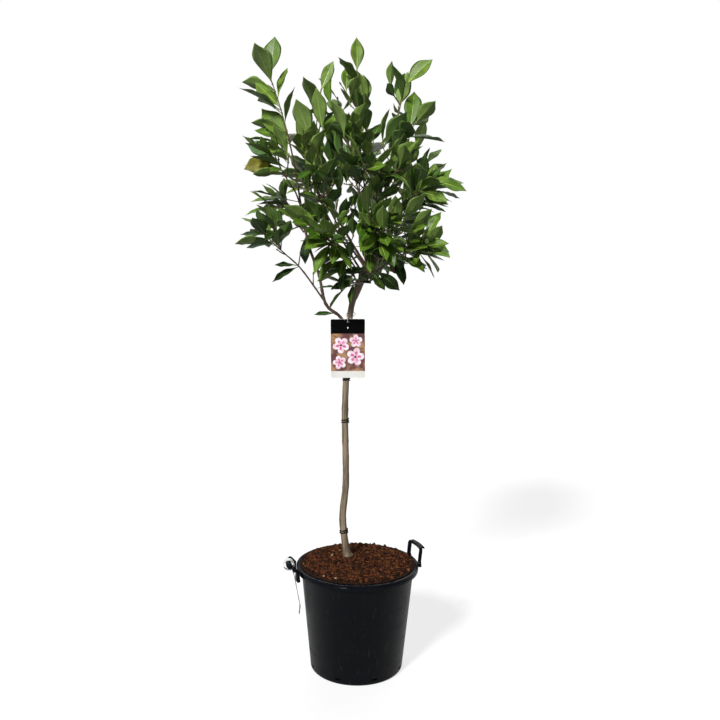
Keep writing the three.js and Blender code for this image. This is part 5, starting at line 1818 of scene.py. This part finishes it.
print("loop:", triangles(loop_piece), "triangles")

# %% [markdown]
# ## The strip on the left handle
# A strip of film is looped over the grip, stuck to itself below it, and hangs down the
# pot's side, slightly crumpled. The loop has the film's own pale colour; the tail is the
# same film painted grey, as painted shade. Both parts are a band that follows a line
# drawn in the plane of the pot's radius.

# %% The film strip
STRIP = {
    "width": 18, "thick": 1.6, "azimuth": 190.5, "eye": (227, 355), "eye_radius": 18,
    "tail": [(218, 342), (210, 322), (201, 278), (193, 235), (189, 216), (192, 189)],
    "tail_steps": 10, "eye_points": 61, "columns": 7,
}
CRUMPLE = {"deep": 0.4, "along": 0.55, "across": 5}
FILM_LOOK = finish(
    "pale_film", (222, 224, 222), (190, 192, 190), scale=60, rough=(0.4, 0.55), relief_scale=200, depth=0.6,
)
# painted shade: the tail is the same pale film, painted grey as if in shade
FILM_SHADE_LOOK = finish(
    "film_painted_shade", (96, 96, 92), (74, 74, 70), scale=60, rough=(0.5, 0.6), relief_scale=200, depth=0.6,
)


def band_skin(section, thick, crumple):
    """Rings of a band of the strip's width along a line of (out, up) points."""
    section = np.asarray(section, float)
    ahead = unit(np.gradient(section, axis=0))
    normal = np.stack([-ahead[:, 1], ahead[:, 0]], -1)
    columns = np.linspace(-0.5, 0.5, STRIP["columns"])
    rows = []
    for sign, shares in ((-1, columns), (1, columns[::-1])):
        for share in shares:
            waves = np.arange(len(section)) * CRUMPLE["along"] + CRUMPLE["across"] * share
            waves = crumple * np.sin(waves)
            flat = section + normal * (sign * thick / 2 + waves)[:, None]
            rows.append(np.column_stack([flat[:, 0], np.full(len(flat), share * STRIP["width"]), flat[:, 1]]))
    return np.stack(rows, 1)


eye = arc(STRIP["eye"], STRIP["eye_radius"] - STRIP["thick"] / 2, 45, 405, STRIP["eye_points"])
strip = Heap()
tail = spline(STRIP["tail"], STRIP["tail_steps"])
for slot, section, crumple in ((1, tail, CRUMPLE["deep"]), (0, eye, 0)):
    points, faces = ring_skin(band_skin(section, STRIP["thick"], crumple))
    strip.add((spin(points, STRIP["azimuth"]), faces), slot)
film = belongs(strip.piece("film_strip", [FILM_LOOK, FILM_SHADE_LOOK], crease=50), "strip_paper", "handle_strip")
print("strip:", triangles(film), "triangles")
